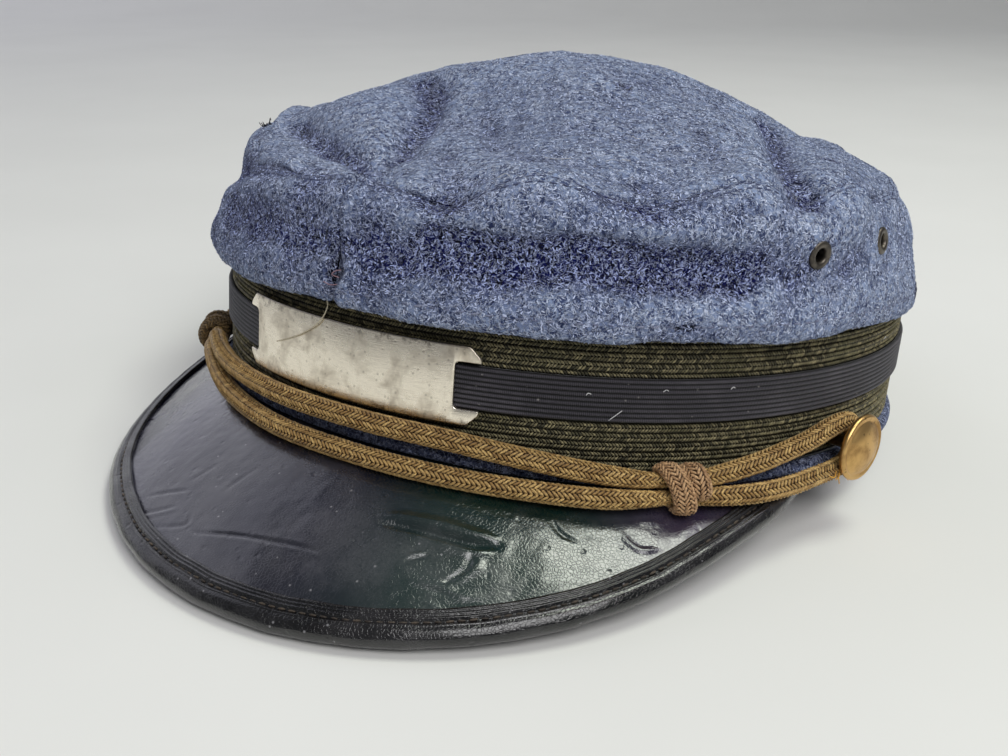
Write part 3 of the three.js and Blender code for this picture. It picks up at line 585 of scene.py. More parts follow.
def tree_with(kind, name, takes, gives):
    """A node tree, with what it takes and gives by name."""
    tree = bpy.data.node_groups.new(name, kind)
    for label, socket in takes.items():
        tree.interface.new_socket(name=label, in_out="INPUT", socket_type="NodeSocket" + socket)
    for label, socket in gives.items():
        tree.interface.new_socket(name=label, in_out="OUTPUT", socket_type="NodeSocket" + socket)
    return tree, tree.nodes.new("NodeGroupInput").outputs, tree.nodes.new("NodeGroupOutput").inputs


def geometry_tree(name, **sizes):
    takes = dict(Geometry="Geometry", **sizes, Material="Material")
    return tree_with("GeometryNodeTree", name, takes, dict(Geometry="Geometry"))


def named(tree, name, kind="FLOAT"):
    return get(tree, "GeometryNodeInputNamedAttribute", {"Name": name}, data_type=kind)


def random_value(tree, seed, low, high, kind="FLOAT"):
    first, given = (0, 0) if kind == "FLOAT_VECTOR" else (2, 1)
    made = node(tree, "FunctionNodeRandomValue", {first: low, first + 1: high, "Seed": seed}, data_type=kind)
    return made.outputs[given]


def turned(tree, rotation, euler):
    """A rotation turned further, by angles about its own axes."""
    by = get(tree, "FunctionNodeEulerToRotation", {"Euler": euler})
    return get(tree, "FunctionNodeRotateRotation", {"Rotation": rotation, "Rotate By": by},
               rotation_space="LOCAL")


def give(tree, shapes, material, gives):
    """Ends a tree: the shapes as one smooth mesh in its material."""
    solid = get(tree, "GeometryNodeRealizeInstances", {0: shapes})
    smooth = get(tree, "GeometryNodeSetShadeSmooth", {0: solid})
    made = get(tree, "GeometryNodeSetMaterial", {0: smooth, "Material": material})
    tree.links.new(made, gives["Geometry"])


def set_on_points(tree, points, shape, rotation, scale, seed):
    """Shapes set on points, each with a random shade."""
    placed = get(tree, "GeometryNodeInstanceOnPoints",
                 {"Points": points, "Instance": shape, "Rotation": rotation, "Scale": scale})
    return get(tree, "GeometryNodeStoreNamedAttribute",
               {"Geometry": placed, "Name": "shade", "Value": random_value(tree, seed, 0.0, 1.0)},
               data_type="FLOAT", domain="INSTANCE")


def sewing_tree():
    """Stitches or strands along lines: rounded spindles at a pitch, leaning across the line."""
    tree, given, gives = geometry_tree("sewing", Pitch="Float", Size="Vector", Uneven="Float", Seed="Int",
                                       Segments="Int", Rings="Int")
    curve = get(tree, "GeometryNodeMeshToCurve", {"Mesh": given["Geometry"]})
    row = get(tree, "GeometryNodeResampleCurve", {"Curve": curve, "Length": given["Pitch"]}, mode="LENGTH")
    tangent = get(tree, "GeometryNodeInputTangent")
    way = named(tree, "face_way", "FLOAT_VECTOR")
    along = get(tree, "FunctionNodeAlignRotationToVector", {"Vector": tangent}, axis="X")
    facing = get(tree, "FunctionNodeAlignRotationToVector", {"Rotation": along, "Vector": way},
                 axis="Z", pivot_axis="X")
    stray = times(tree, random_value(tree, given["Seed"], -1.0, 1.0), given["Uneven"])
    spin = get(tree, "ShaderNodeCombineXYZ", {"Z": calc(tree, "ADD", named(tree, "lean"), stray)})
    ball = get(tree, "GeometryNodeMeshUVSphere",
               {"Segments": given["Segments"], "Rings": given["Rings"], "Radius": 0.5})
    on_side = get(tree, "GeometryNodeTransform", {"Geometry": ball, "Rotation": (0, math.pi / 2, 0)})
    spindle = get(tree, "GeometryNodeTransform", {"Geometry": on_side, "Scale": given["Size"]})
    stitches = set_on_points(tree, row, spindle, turned(tree, facing, spin), calc(tree, "ADD", 1.0, stray),
                             given["Seed"])
    give(tree, stitches, given["Material"], gives)
    return tree


def nap_tree():
    """Short flat fibres lying on cloth, thinner where the nap attribute is low."""
    tree, given, gives = geometry_tree("nap", Density="Float", Length="Float", Width="Float", Seed="Int")
    seed, length = given["Seed"], given["Length"]
    roots = node(tree, "GeometryNodeDistributePointsOnFaces",
                 {"Mesh": given["Geometry"], "Density": times(tree, named(tree, "nap"), given["Density"]),
                  "Seed": seed})
    stem = get(tree, "GeometryNodeCurvePrimitiveLine", {"Start": FIBRE_FOOT, "End": FIBRE_TIP})
    wide = get(tree, "ShaderNodeCombineXYZ", {"X": calc(tree, "DIVIDE", given["Width"], length)})
    flat = get(tree, "GeometryNodeCurvePrimitiveLine", {"Start": (0, 0, 0), "End": wide})
    fibre = get(tree, "GeometryNodeCurveToMesh", {"Curve": stem, "Profile Curve": flat})
    lean = random_value(tree, seed, *FIBRE_LEANS, "FLOAT_VECTOR")
    scale = times(tree, random_value(tree, seed, *FIBRE_LENGTHS), length)
    rotation = turned(tree, roots.outputs["Rotation"], lean)
    fibres = set_on_points(tree, roots.outputs["Points"], fibre, rotation, scale, seed)
    give(tree, fibres, given["Material"], gives)
    return tree


def thread_tree():
    """Round threads along lines."""
    tree, given, gives = geometry_tree("threads", Radius="Float", Sides="Int")
    curve = get(tree, "GeometryNodeMeshToCurve", {"Mesh": given["Geometry"]})
    ring = get(tree, "GeometryNodeCurvePrimitiveCircle",
               {"Resolution": given["Sides"], "Radius": given["Radius"]})
    tube = get(tree, "GeometryNodeCurveToMesh", {"Curve": curve, "Profile Curve": ring, "Fill Caps": True})
    give(tree, tube, given["Material"], gives)
    return tree


def grow(mesh, tree, **values):
    """The mesh with a tree worked in."""
    holder = temporary(mesh)
    step = holder.modifiers.new("grow", "NODES")
    step.node_group = tree
    for item in tree.interface.items_tree:
        if item.in_out == "INPUT" and item.name in values:
            step[item.identifier] = values[item.name]
    return finished(holder)


SEWING, NAP, THREADS = sewing_tree(), nap_tree(), thread_tree()


# Materials

def tone(red, green, blue):
    """A colour as seen on a screen, 0 to 255, as light."""
    shares = [c / 255 for c in (red, green, blue)]
    return (*(s / 12.92 if s <= 0.04045 else ((s + 0.055) / 1.055) ** 2.4 for s in shares), 1.0)


def mix(tree, factor, first, second):
    """A colour from the first to the second."""
    return node(tree, "ShaderNodeMix", {0: factor, 6: first, 7: second}, data_type="RGBA").outputs[2]


def fade(tree, value, low, high, to_low=0.0, to_high=1.0):
    """A soft step: to_low where the value is low or less, to_high where it is high or more."""
    ends = {"Value": value, "From Min": low, "From Max": high, "To Min": to_low, "To Max": to_high}
    return get(tree, "ShaderNodeMapRange", ends, interpolation_type="SMOOTHSTEP")


def noise(tree, vector, scale, detail=2.0, roughness=0.5, distortion=0.0):
    inputs = {"Vector": vector, "Scale": scale, "Detail": detail, "Roughness": roughness,
              "Distortion": distortion}
    return node(tree, "ShaderNodeTexNoise", inputs).outputs["Fac"]


def cells(tree, vector, scale, feature="F1"):
    made = node(tree, "ShaderNodeTexVoronoi", {"Vector": vector, "Scale": scale}, feature=feature)
    return made.outputs["Distance"]


def here(tree):
    """Place in the cap's frame, in metres."""
    return node(tree, "ShaderNodeTexCoord").outputs["Object"]


def flat_map(tree):
    """Place along and round a piece, in millimetres."""
    return get(tree, "ShaderNodeUVMap", uv_map="UVMap")


def attribute(tree, name):
    return node(tree, "ShaderNodeAttribute", attribute_name=name).outputs["Fac"]


def bump(tree, height, depth, strength=1.0, under=None):
    """Relief, its depth in millimetres, over other relief if there is any."""
    inputs = {"Height": height, "Distance": depth * MM, "Strength": strength}
    if under is not None:
        inputs["Normal"] = under
    return get(tree, "ShaderNodeBump", inputs)


def group(tree, shared):
    """Masks of a shared effect, by name."""
    return node(tree, "ShaderNodeGroup", {"Vector": here(tree)}, node_tree=shared).outputs


def paint(name, **constants):
    """A material, its tree and its shader."""
    material = bpy.data.materials.new(name)
    material.use_nodes = True
    tree = material.node_tree
    shader = tree.nodes["Principled BSDF"]
    for key, value in constants.items():
        shader.inputs[key.replace("_", " ")].default_value = value
    return material, tree, shader


def wire(tree, shader, **sockets):
    for key, socket in sockets.items():
        tree.links.new(socket, shader.inputs[key.replace("_", " ")])


def heather_group():
    """Matted wool: curled pale fibres, dark hollows between them, and broad cloudiness."""
    tree, given, gives = tree_with("ShaderNodeTree", "heather", dict(Vector="Vector"),
                                   dict(Curls="Float", Hollows="Float", Cloud="Float"))
    place = given["Vector"]
    curls = []
    for scale, width in ((500.0, 0.036), (760.0, 0.036)):
        wander = noise(tree, place, scale, 2.5, 0.6, 0.9)
        off = calc(tree, "ABSOLUTE", calc(tree, "SUBTRACT", wander, 0.5))
        curls.append(fade(tree, off, 0.0, width, 1.0, 0.0))
    tree.links.new(calc(tree, "MAXIMUM", curls[0], times(tree, curls[1], 0.75)), gives["Curls"])
    tree.links.new(fade(tree, noise(tree, place, 540.0, 3.0, 0.65, 0.5), 0.44, 0.56), gives["Hollows"])
    tree.links.new(noise(tree, place, 38.0, 3.0, 0.55), gives["Cloud"])
    return tree


def grime_group():
    """Dust that lies in patches, and pale specks."""
    tree, given, gives = tree_with("ShaderNodeTree", "grime", dict(Vector="Vector"),
                                   dict(Dust="Float", Specks="Float"))
    place = given["Vector"]
    broad = noise(tree, place, 55.0, 4.0, 0.6)
    fine = noise(tree, place, 1800.0, 2.0, 0.7)
    tree.links.new(times(tree, fade(tree, broad, 0.4, 0.7), fine), gives["Dust"])
    tree.links.new(fade(tree, cells(tree, place, 260.0), 0.03, 0.1, 1.0, 0.0), gives["Specks"])
    return tree


def strand_group():
    """Fine fibres in spun thread, and tone that changes from place to place."""
    tree, given, gives = tree_with("ShaderNodeTree", "strand", dict(Vector="Vector"),
                                   dict(Fibres="Float", Wear="Float"))
    place = given["Vector"]
    tree.links.new(noise(tree, place, 2600.0, 3.0, 0.7, 0.6), gives["Fibres"])
    tree.links.new(noise(tree, place, 90.0, 3.0, 0.6), gives["Wear"])
    return tree


def tarnish_group():
    """Metal that has darkened in patches, with pits and fine scratches."""
    tree, given, gives = tree_with("ShaderNodeTree", "tarnish", dict(Vector="Vector"),
                                   dict(Patches="Float", Pits="Float", Scratches="Float"))
    place = given["Vector"]
    tree.links.new(fade(tree, noise(tree, place, 130.0, 5.0, 0.62, 0.4), 0.42, 0.7), gives["Patches"])
    tree.links.new(fade(tree, cells(tree, place, 520.0), 0.08, 0.2, 1.0, 0.0), gives["Pits"])
    drawn = node(tree, "ShaderNodeMapping", {"Vector": place, "Scale": (300.0, 300.0, 5200.0)}).outputs[0]
    tree.links.new(noise(tree, drawn, 1.0, 3.0, 0.7), gives["Scratches"])
    return tree


HEATHER, GRIME, STRAND, TARNISH = heather_group(), grime_group(), strand_group(), tarnish_group()

# Wool where it is darker, at the front and in hollows that get painted shade, and where it is paler, on top,
# towards the back and on ridges that get painted light, for the ground and for the fibres on it: shade, body
# and pale
GROUND_DARK_SHADED = (tone(2, 3, 15), tone(8, 15, 70), tone(200, 212, 252))
GROUND_PALE_LIT = (tone(42, 53, 93), tone(132, 148, 183), tone(213, 222, 244))
FIBRE_DARK_SHADED = (tone(3, 5, 26), tone(15, 26, 92), tone(188, 202, 250))
FIBRE_PALE_LIT = (tone(50, 62, 101), tone(136, 151, 185), tone(210, 219, 241))


def wool_paint(name, hollow, paler_lit):
    """Heathered wool, deeper and more speckled where the worn mark is low, at the front and in hollows
    painted with shade; paler on top, towards the back and on ridges painted with light.
    """
    material, tree, shader = paint(name, Roughness=0.95, Sheen_Weight=0.08, Sheen_Roughness=0.5,
                                   Specular_IOR_Level=0.15)
    look = group(tree, HEATHER)
    grime = group(tree, GRIME)
    # Painted light and shade: the worn mark makes ridges paler and hollows darker, and sets how pale the wool
    # is on top, at the front and towards the back.
    worn = attribute(tree, "worn")
    dark, body, pale = (mix(tree, worn, deep, light) for deep, light in zip(hollow, paler_lit))
    colour = mix(tree, look["Hollows"], dark, body)
    colour = mix(tree, times(tree, look["Curls"], 0.95), colour, pale)
    colour = mix(tree, fade(tree, look["Cloud"], 0.35, 0.7, 0.0, 0.25), colour, body)
    colour = mix(tree, times(tree, grime["Specks"], 0.35), colour, tone(200, 200, 205))
    fluff = calc(tree, "ADD", look["Hollows"], times(tree, look["Curls"], 0.8))
    wire(tree, shader, Base_Color=colour, Normal=bump(tree, fluff, 0.3, 0.9))
    return material


def fibre_paint(name, hollow, paler_lit):
    """Loose fibres, each with its own shade."""
    material, tree, shader = paint(name, Roughness=0.85, Specular_IOR_Level=0.2)
    shade = attribute(tree, "shade")
    # Painted light and shade: the worn mark makes fibres on ridges paler and in hollows darker, as on the
    # wool beneath.
    worn = attribute(tree, "worn")
    dark, body, pale = (mix(tree, worn, deep, light) for deep, light in zip(hollow, paler_lit))
    colour = mix(tree, fade(tree, shade, 0.0, 0.45), dark, body)
    colour = mix(tree, fade(tree, shade, 0.55, 1.0), colour, pale)
    tint = noise(tree, here(tree), 700.0, 2.0)
    wire(tree, shader, Base_Color=mix(tree, fade(tree, tint, 0.3, 0.7, 0.0, 0.3), colour, body))
    return material


def strand_paint(name, dark, middle, pale, roughness, worn=None):
    """Spun strands: each its own shade, dark in its hollows, paler where it has worn."""
    material, tree, shader = paint(name, Roughness=roughness, Specular_IOR_Level=0.35, Sheen_Weight=0.1)
    look = group(tree, STRAND)
    colour = mix(tree, attribute(tree, "shade"), middle, pale)
    colour = mix(tree, fade(tree, look["Fibres"], 0.35, 0.6, 0.75, 0.0), colour, dark)
    colour = mix(tree, fade(tree, look["Wear"], 0.45, 0.7, 0.0, 0.7), colour, worn or middle)
    wire(tree, shader, Base_Color=colour, Normal=bump(tree, look["Fibres"], 0.12, 0.8))
    return material


def plain_paint(name, colour, shadow, roughness, grain, depth):
    """Dull thread or ground cloth with a fine grain."""
    material, tree, shader = paint(name, Roughness=roughness, Specular_IOR_Level=0.25)
    look = group(tree, STRAND)
    mixed = mix(tree, fade(tree, look["Fibres"], 0.3, grain, 1.0, 0.0), colour, shadow)
    wire(tree, shader, Base_Color=mixed, Normal=bump(tree, look["Fibres"], depth))
    return material


WEFT_PITCH = 0.42


def ribbon_paint():
    """Corded ribbon: fine ridges along it, crossed by its weft, with painted shade near black in the grooves
    between the ridges.
    """
    material, tree, shader = paint("ribbon_grosgrain", Roughness=0.62, Specular_IOR_Level=0.35,
                                   Sheen_Weight=0.15)
    along = get(tree, "ShaderNodeSeparateXYZ", {0: flat_map(tree)})
    weft = calc(tree, "SINE", times(tree, along, 2 * math.pi / WEFT_PITCH))
    grime = group(tree, GRIME)
    look = group(tree, STRAND)
    colour = mix(tree, fade(tree, weft, -1.0, 1.0), tone(36, 34, 40), tone(66, 63, 71))
    colour = mix(tree, fade(tree, look["Wear"], 0.45, 0.7, 0.0, 0.5), colour, tone(86, 82, 89))
    # Painted shade: the grooves between the ridges turn near black.
    colour = mix(tree, fade(tree, attribute(tree, "ridge"), 0.2, 0.95), tone(5, 4, 7), colour)
    colour = mix(tree, times(tree, grime["Specks"], 0.45), colour, tone(170, 165, 160))
    under = bump(tree, weft, 0.05, 0.8)
    wire(tree, shader, Base_Color=colour, Normal=bump(tree, look["Fibres"], 0.05, 0.6, under))
    return material


def metal_paint(name, bright, dull, dirt, roughness, pitting):
    """Worn metal: bright where rubbed, dull in patches, dirt in pits."""
    material, tree, shader = paint(name, Metallic=1.0)
    look = group(tree, TARNISH)
    colour = mix(tree, look["Patches"], bright, dull)
    colour = mix(tree, times(tree, look["Pits"], pitting), colour, dirt)
    rough = fade(tree, look["Patches"], 0.0, 1.0, roughness, roughness + 0.22)
    under = bump(tree, look["Scratches"], 0.02, 0.5)
    wire(tree, shader, Base_Color=colour, Roughness=rough,
         Normal=bump(tree, look["Pits"], -0.06, pitting, under))
    return material


def plate_paint(name, bright, dull, dirt, roughness):
    """Thin plate, brushed along its length, with dirt caught at its edges."""
    material, tree, shader = paint(name, Metallic=1.0)
    up = node(tree, "ShaderNodeSeparateXYZ", {0: flat_map(tree)}).outputs[1]
    look = group(tree, TARNISH)
    inwards = calc(tree, "MINIMUM", up, calc(tree, "SUBTRACT", BADGE_HEIGHT, up))
    smudge = noise(tree, here(tree), 420.0, 4.0, 0.7)
    edge = times(tree, fade(tree, inwards, 0.2, 3.2, 1.0, 0.0), fade(tree, smudge, 0.5, 0.66))
    rim = fade(tree, inwards, 0.1, 0.6, 0.65, 0.0)
    colour = mix(tree, times(tree, look["Patches"], 0.85), bright, dull)
    colour = mix(tree, fade(tree, look["Scratches"], 0.45, 0.7, 0.0, 0.35), colour, dull)
    colour = mix(tree, times(tree, look["Pits"], 0.3), colour, dirt)
    colour = mix(tree, calc(tree, "MAXIMUM", times(tree, edge, 0.7), rim), colour, dirt)
    rough = fade(tree, look["Patches"], 0.0, 1.0, roughness, roughness + 0.14)
    under = bump(tree, look["Scratches"], 0.03, 0.7)
    wire(tree, shader, Base_Color=colour, Roughness=rough, Normal=bump(tree, look["Pits"], -0.06, 0.3, under))
    return material


def patent_paint(name, black, haze, roughness, crazing, coat, gloss, dust, shine=0.5, reflection_tints=None):
    """Patent leather: a clear black coat, crazed and dulled by handling, with painted reflection tints across
    it when they are given.
    """
    material, tree, shader = paint(name, Specular_IOR_Level=shine, Coat_Weight=coat, Coat_Roughness=gloss)
    place = here(tree)
    grime = group(tree, GRIME)
    wander = node(tree, "ShaderNodeTexNoise", {"Vector": place, "Scale": 300.0}).outputs["Color"]
    shift = get(tree, "ShaderNodeVectorMath", {0: wander, "Scale": 1.2 * MM}, operation="SCALE")
    shifted = get(tree, "ShaderNodeVectorMath", {0: place, 1: shift}, operation="ADD")
    fine = fade(tree, cells(tree, shifted, 1300.0, "DISTANCE_TO_EDGE"), 0.0, 0.16)
    pocks = fade(tree, cells(tree, place, 240.0), 0.05, 0.22)
    scuffs = fade(tree, noise(tree, place, 70.0, 5.0, 0.65), 0.48, 0.72)
    colour = mix(tree, times(tree, scuffs, 0.6), black, haze)
    # Painted reflection: the across mark blends tints of reflected light into the base colour.
    if reflection_tints:
        across = attribute(tree, "across")
        reflected_tint = mix(tree, fade(tree, across, -0.45, -0.05), reflection_tints[0], reflection_tints[1])
        reflected_tint = mix(tree, fade(tree, across, 0.06, 0.3), reflected_tint, reflection_tints[2])
        reflected_tint = mix(tree, fade(tree, across, 0.45, 0.65), reflected_tint, reflection_tints[3])
        colour = mix(tree, fade(tree, noise(tree, place, 24.0, 3.0), 0.2, 0.8, 0.35, 0.9), colour, reflected_tint)
    colour = mix(tree, times(tree, grime["Dust"], dust), colour, tone(120, 118, 122))
    colour = mix(tree, times(tree, grime["Specks"], 0.45), colour, tone(170, 168, 172))
    rough = calc(tree, "ADD", fade(tree, scuffs, 0.0, 1.0, roughness, roughness + 0.16),
                 times(tree, grime["Dust"], 0.25))
    under = bump(tree, fine, 0.014 * crazing, 0.6)
    body = bump(tree, pocks, 0.12 * crazing, 0.5, under)
    clear = bump(tree, pocks, 0.1 * crazing, 0.5, bump(tree, fine, 0.025 * crazing, 0.8))
    wire(tree, shader, Base_Color=colour, Roughness=rough, Normal=body, Coat_Normal=clear)
    return material


WOOL = wool_paint("wool_blue_grey", GROUND_DARK_SHADED, GROUND_PALE_LIT)
WOOL_FIBRE = fibre_paint("wool_fibre", FIBRE_DARK_SHADED, FIBRE_PALE_LIT)
# Painted shade: the ground under the band's strands is dark so the gaps between strands read as shade.
BRAID_SHADE_GROUND = plain_paint("braid_shade_ground", tone(34, 32, 21), tone(16, 15, 10), 0.9, 0.55, 0.1)
BRAID_STRAND = strand_paint("braid_strand", tone(30, 28, 18), tone(64, 61, 42), tone(176, 165, 124), 0.6,
                            tone(100, 96, 66))
RIBBON = ribbon_paint()
NICKEL = plate_paint("worn_nickel", tone(250, 241, 223), tone(194, 183, 165), tone(84, 74, 62), 0.27)
BRASS = metal_paint("old_brass", tone(214, 174, 112), tone(164, 128, 80), tone(74, 54, 34), 0.34, 0.5)
EYELET = metal_paint("eyelet_metal", tone(104, 98, 90), tone(52, 50, 50), tone(24, 24, 26), 0.4, 0.5)
# Painted reflection: tints of reflected room light put into the lacquer's colour, violet at one side, black,
# green, then violet again
PAINTED_REFLECTION_TINTS = (tone(46, 45, 68), tone(30, 31, 45), tone(15, 44, 38), tone(56, 47, 70))
PATENT = patent_paint("patent_leather", tone(17, 17, 20), tone(42, 40, 50), roughness=0.2, crazing=1.0,
                      coat=1.0, gloss=0.12, dust=0.3, reflection_tints=PAINTED_REFLECTION_TINTS)
BINDING = patent_paint("binding_leather", tone(7, 7, 8), tone(30, 27, 27), roughness=0.13, crazing=2.0,
                       coat=0.6, gloss=0.05, dust=0.2, shine=0.4)
# Painted shade: the ground under the cord's and knots' strands is dark so the gaps between strands read as
# shade.
CORD_SHADE_GROUND = plain_paint("cord_shade_ground", tone(62, 42, 24), tone(30, 20, 12), 0.9, 0.6, 0.1)
CORD_STRAND = strand_paint("cord_strand", tone(84, 55, 27), tone(156, 120, 66), tone(226, 190, 122), 0.45,
                           tone(176, 142, 86))
KNOT_STRAND = strand_paint("knot_strand", tone(92, 62, 40), tone(172, 132, 92), tone(220, 180, 134), 0.5,
                           tone(184, 146, 106))
KNOT_DARK = strand_paint("knot_strand_dark", tone(44, 33, 20), tone(104, 84, 52), tone(156, 128, 84), 0.6,
                         tone(116, 94, 60))
NAVY_THREAD = strand_paint("navy_thread", tone(24, 28, 52), tone(62, 70, 104), tone(112, 120, 152), 0.8)
PALE_THREAD = strand_paint("pale_thread", tone(60, 66, 96), tone(108, 114, 144), tone(150, 156, 180), 0.8)
BINDING_THREAD = strand_paint("binding_thread", tone(22, 18, 15), tone(54, 46, 40), tone(92, 80, 68), 0.6)
CREAM_THREAD = plain_paint("cream_thread", tone(206, 196, 170), tone(150, 136, 110), 0.8, 0.5, 0.02)
DARK_THREAD = plain_paint("dark_thread", tone(24, 22, 26), tone(10, 10, 12), 0.8, 0.5, 0.02)
PINK_THREAD = plain_paint("pink_thread", tone(158, 128, 136), tone(104, 80, 96), 0.8, 0.5, 0.02)
FRAY_THREAD = plain_paint("fray_thread", tone(232, 178, 82), tone(190, 130, 50), 0.7, 0.5, 0.02)
LINT_THREAD = plain_paint("lint_thread", tone(214, 214, 214), tone(160, 160, 164), 0.85, 0.5, 0.02)


# Crown

SIDE_STEPS, SIDE_ROWS, SIDE_CROWDING = 250, 72, 1.35
TOP_STEPS, TOP_ROWS, TOP_CROWDING = 420, 44, 1.25
INSIDE_EVERY = 4
MM_PER_DEGREE = 1.67
# Unevenness of the cloth: wavelengths and heights
CLOTH_WAVES = [(26, 0.32), (9, 0.13)]
TOP_SEAM_DIP, SIDE_SEAM_DIP, SEAM_DIP_WIDE = 0.36, 0.8, 0.8
SEAM_ROLL, SEAM_ROLL_AT, SEAM_ROLL_WIDE = 0.3, 2.2, 1.2
TOPSTITCH_AT = (1.4, 3.0)
TOPSTITCH_DIP, TOPSTITCH_WIDE = 0.22, 0.45
SLIT_AT, SLIT_TALL, SLIT_HALF, SLIT_WIDE, SLIT_BARE = 0.272, 0.055, 2.8, 4, 2.6
SLIT_SPOTS = (-1.2, -0.6, 0, 0.6, 1.2)
HEM_AT, HEM_UNDER, HEM_TURN = 0.208, 0.12, 0.08
SIDE_ALONGS = EDGE_AT * (1 - (1 - np.linspace(0, 1, SIDE_ROWS + 1)) ** SIDE_CROWDING)
TEAR = (-70, 0.628)
TEAR_LENGTH, TEAR_WIDTH, TEAR_CLEAR = 11.0, 4.0, 7.0
# Moth holes: angle, share of the way up, and width
MOTH_HOLES = [(49.5, 0.904, 2.6), (88.0, 0.725, 3.0)]
NICK = (45.2, 0.207)
NICK_WIDTH, NICK_TALL, NICK_ROUGH, NICK_DEEP = 5.0, 1.5, 0.35, 3
HOLE_CORNERS, HOLE_ROUGH, HOLE_DEEP, ROUND_HOLE_CORNERS = 18, 0.22, 7.0, 24
# Nap: lengths, widths and fibres to the square metre, then what seams lose and the bare margins of holes
NAP_LENGTH, NAP_WIDTH, TOP_NAP_LENGTH, TOP_NAP_WIDTH = 0.58, 0.17, 0.62, 0.18
TOP_NAP, SIDE_NAP, WELT_NAP = 1.9e6, 3.2e6, 2.4e6
SEAM_NAP, SEAM_LOSS, SEAM_LOSS_WIDE, STITCH_LOSS_WIDE = 0.15, 0.6, 0.6, 0.5
TEAR_MARGIN, TEAR_ASIDE, MOTH_MARGIN, EYELET_BARE = 0.4, (-2, 0, 2), 0.6, 3.2
# How pale the wool is painted on top, at the front and round towards the back, how strongly ridges get
# painted light and hollows painted shade, and how many steps round and up tell a ridge from a hollow
TOP_PALENESS, FRONT_PALENESS, BACK_PALENESS, BACK_FROM, BACK_BLEND = 0.74, 0.06, 0.76, 60.0, 5
FOLD_LIGHT_AND_SHADE_GAIN, TOP_REACH, SIDE_REACH = 0.7, (5, 3), (5, 8)
# Stitches: length, width and height, pitch, unevenness and lift off the cloth
TOPSTITCH_SIZE, TOPSTITCH_PITCH, TOPSTITCH_UNEVEN, TOPSTITCH_LIFT = (1.7, 0.42, 0.34), 2.5, 0.14, 0.1
HEM_SIZE, HEM_PITCH, HEM_UNEVEN, HEM_LIFT = (1.7, 0.42, 0.32), 3.1, 0.25, 0.15
STITCH_DETAIL, STRAND_DETAIL, CORD_DETAIL = (6, 4), (4, 2), (4, 3)


def seam_relief(distance, dip):
    """How the cloth rolls beside a seam and dips into it."""
    roll = SEAM_ROLL * bell((distance - SEAM_ROLL_AT) / SEAM_ROLL_WIDE)
    return roll - dip * bell(distance / SEAM_DIP_WIDE)


def cloth_waves(sheet, seed, share=1.0):
    """Unevenness of the cloth, with a share of the soft folds."""
    uneven = sum(ripple(sheet, wave, height, seed + i) for i, (wave, height) in enumerate(CLOTH_WAVES))
    return uneven + soft_relief(sheet) * share


def crown_sheet(start, end, steps, alongs):
    """Outside of a panel with the ways it faces."""
    step = (end - start) / steps
    angles = np.linspace(start - step, end + step, steps + 3)
    sheet = crown(angles, alongs)
    return angles[1:-1], sheet[1:-1], sheet_normals(sheet)[1:-1]


def row_distance(sheet):
    """How far each point is along its column from the column's start."""
    steps = np.linalg.norm(np.diff(sheet, axis=1), axis=-1)
    return np.concatenate([np.zeros((len(sheet), 1)), np.cumsum(steps, axis=1)], axis=1)


def from_spot(points, angle, along):
    """How far points are from a place on the crown."""
    return np.linalg.norm(points - crown_spot(angle, along)[0], axis=-1)


def crown_side(start, end, opening, seed):
    """Side panel from seam to seam. It gapes a little where the front seam has come undone."""
    angles, sheet, ways = crown_sheet(start, end, SIDE_STEPS, SIDE_ALONGS)
    far = row_distance(sheet)
    to_edge = far[:, -1:] - far
    to_front = np.abs(turn(FRONT_SEAM, angles))[:, None] * MM_PER_DEGREE
    to_back = np.abs(turn(BACK_SEAM, angles))[:, None] * MM_PER_DEGREE
    relief = seam_relief(to_edge, TOP_SEAM_DIP)
    relief = relief + seam_relief(to_front, SIDE_SEAM_DIP) + seam_relief(to_back, SIDE_SEAM_DIP)
    relief = relief + cloth_waves(sheet, seed, np.clip((SIDE_ALONGS - HEM_UNDER) / HEM_TURN, 0, 1))
    for stitched in TOPSTITCH_AT:
        relief -= TOPSTITCH_DIP * bell((to_edge - stitched) / TOPSTITCH_WIDE)
    for angle, along in EYELETS.values():
        gap = np.linalg.norm(sheet - crown([angle], [along])[0, 0], axis=-1)
        relief += EYELET_PUFF * bell((gap - EYELET_PUFF_AT) / EYELET_PUFF_WIDE)
    up_slit = bell((SIDE_ALONGS - SLIT_AT) / SLIT_TALL)[None]
    gape = opening * SLIT_HALF * up_slit * bell(to_front / SLIT_WIDE)
    sheet = sheet + ways * relief[..., None] + unit(np.gradient(sheet, axis=0)) * gape[..., None]
    return sheet, ways, to_edge


def crown_top():
    climb = np.linspace(0, 1, TOP_ROWS + 1) ** TOP_CROWDING
    alongs = EDGE_AT + (1 - EDGE_AT) * climb
    _, sheet, ways = crown_sheet(0, 360, TOP_STEPS, alongs)
    ways[:, -1] = UP
    relief = seam_relief(row_distance(sheet), TOP_SEAM_DIP) + cloth_waves(sheet, SEED)
    return sheet + ways * relief[..., None], ways


def hole_tool(angle, along, outline, deep=HOLE_DEEP):
    """A plug through the cloth: the outline runs across and up from the place."""
    place, way = crown_spot(angle, along)
    across = unit(np.cross(UP, way))
    over = np.cross(way, across)
    ring = place + outline[:, :1] * across + outline[:, 1:] * over
    return loft("hole", np.stack([ring - way * deep, ring + way * deep]), closed=False)


def ragged(length, width, seed, corners=HOLE_CORNERS, rough=HOLE_ROUGH):
    """An oval outline whose corners stray in and out."""
    a = full_turn(corners)
    reach = 1 + np.random.default_rng(seed).uniform(-rough, rough, corners)
    return np.stack([np.cos(a) * reach * length / 2, np.sin(a) * reach * width / 2], -1)


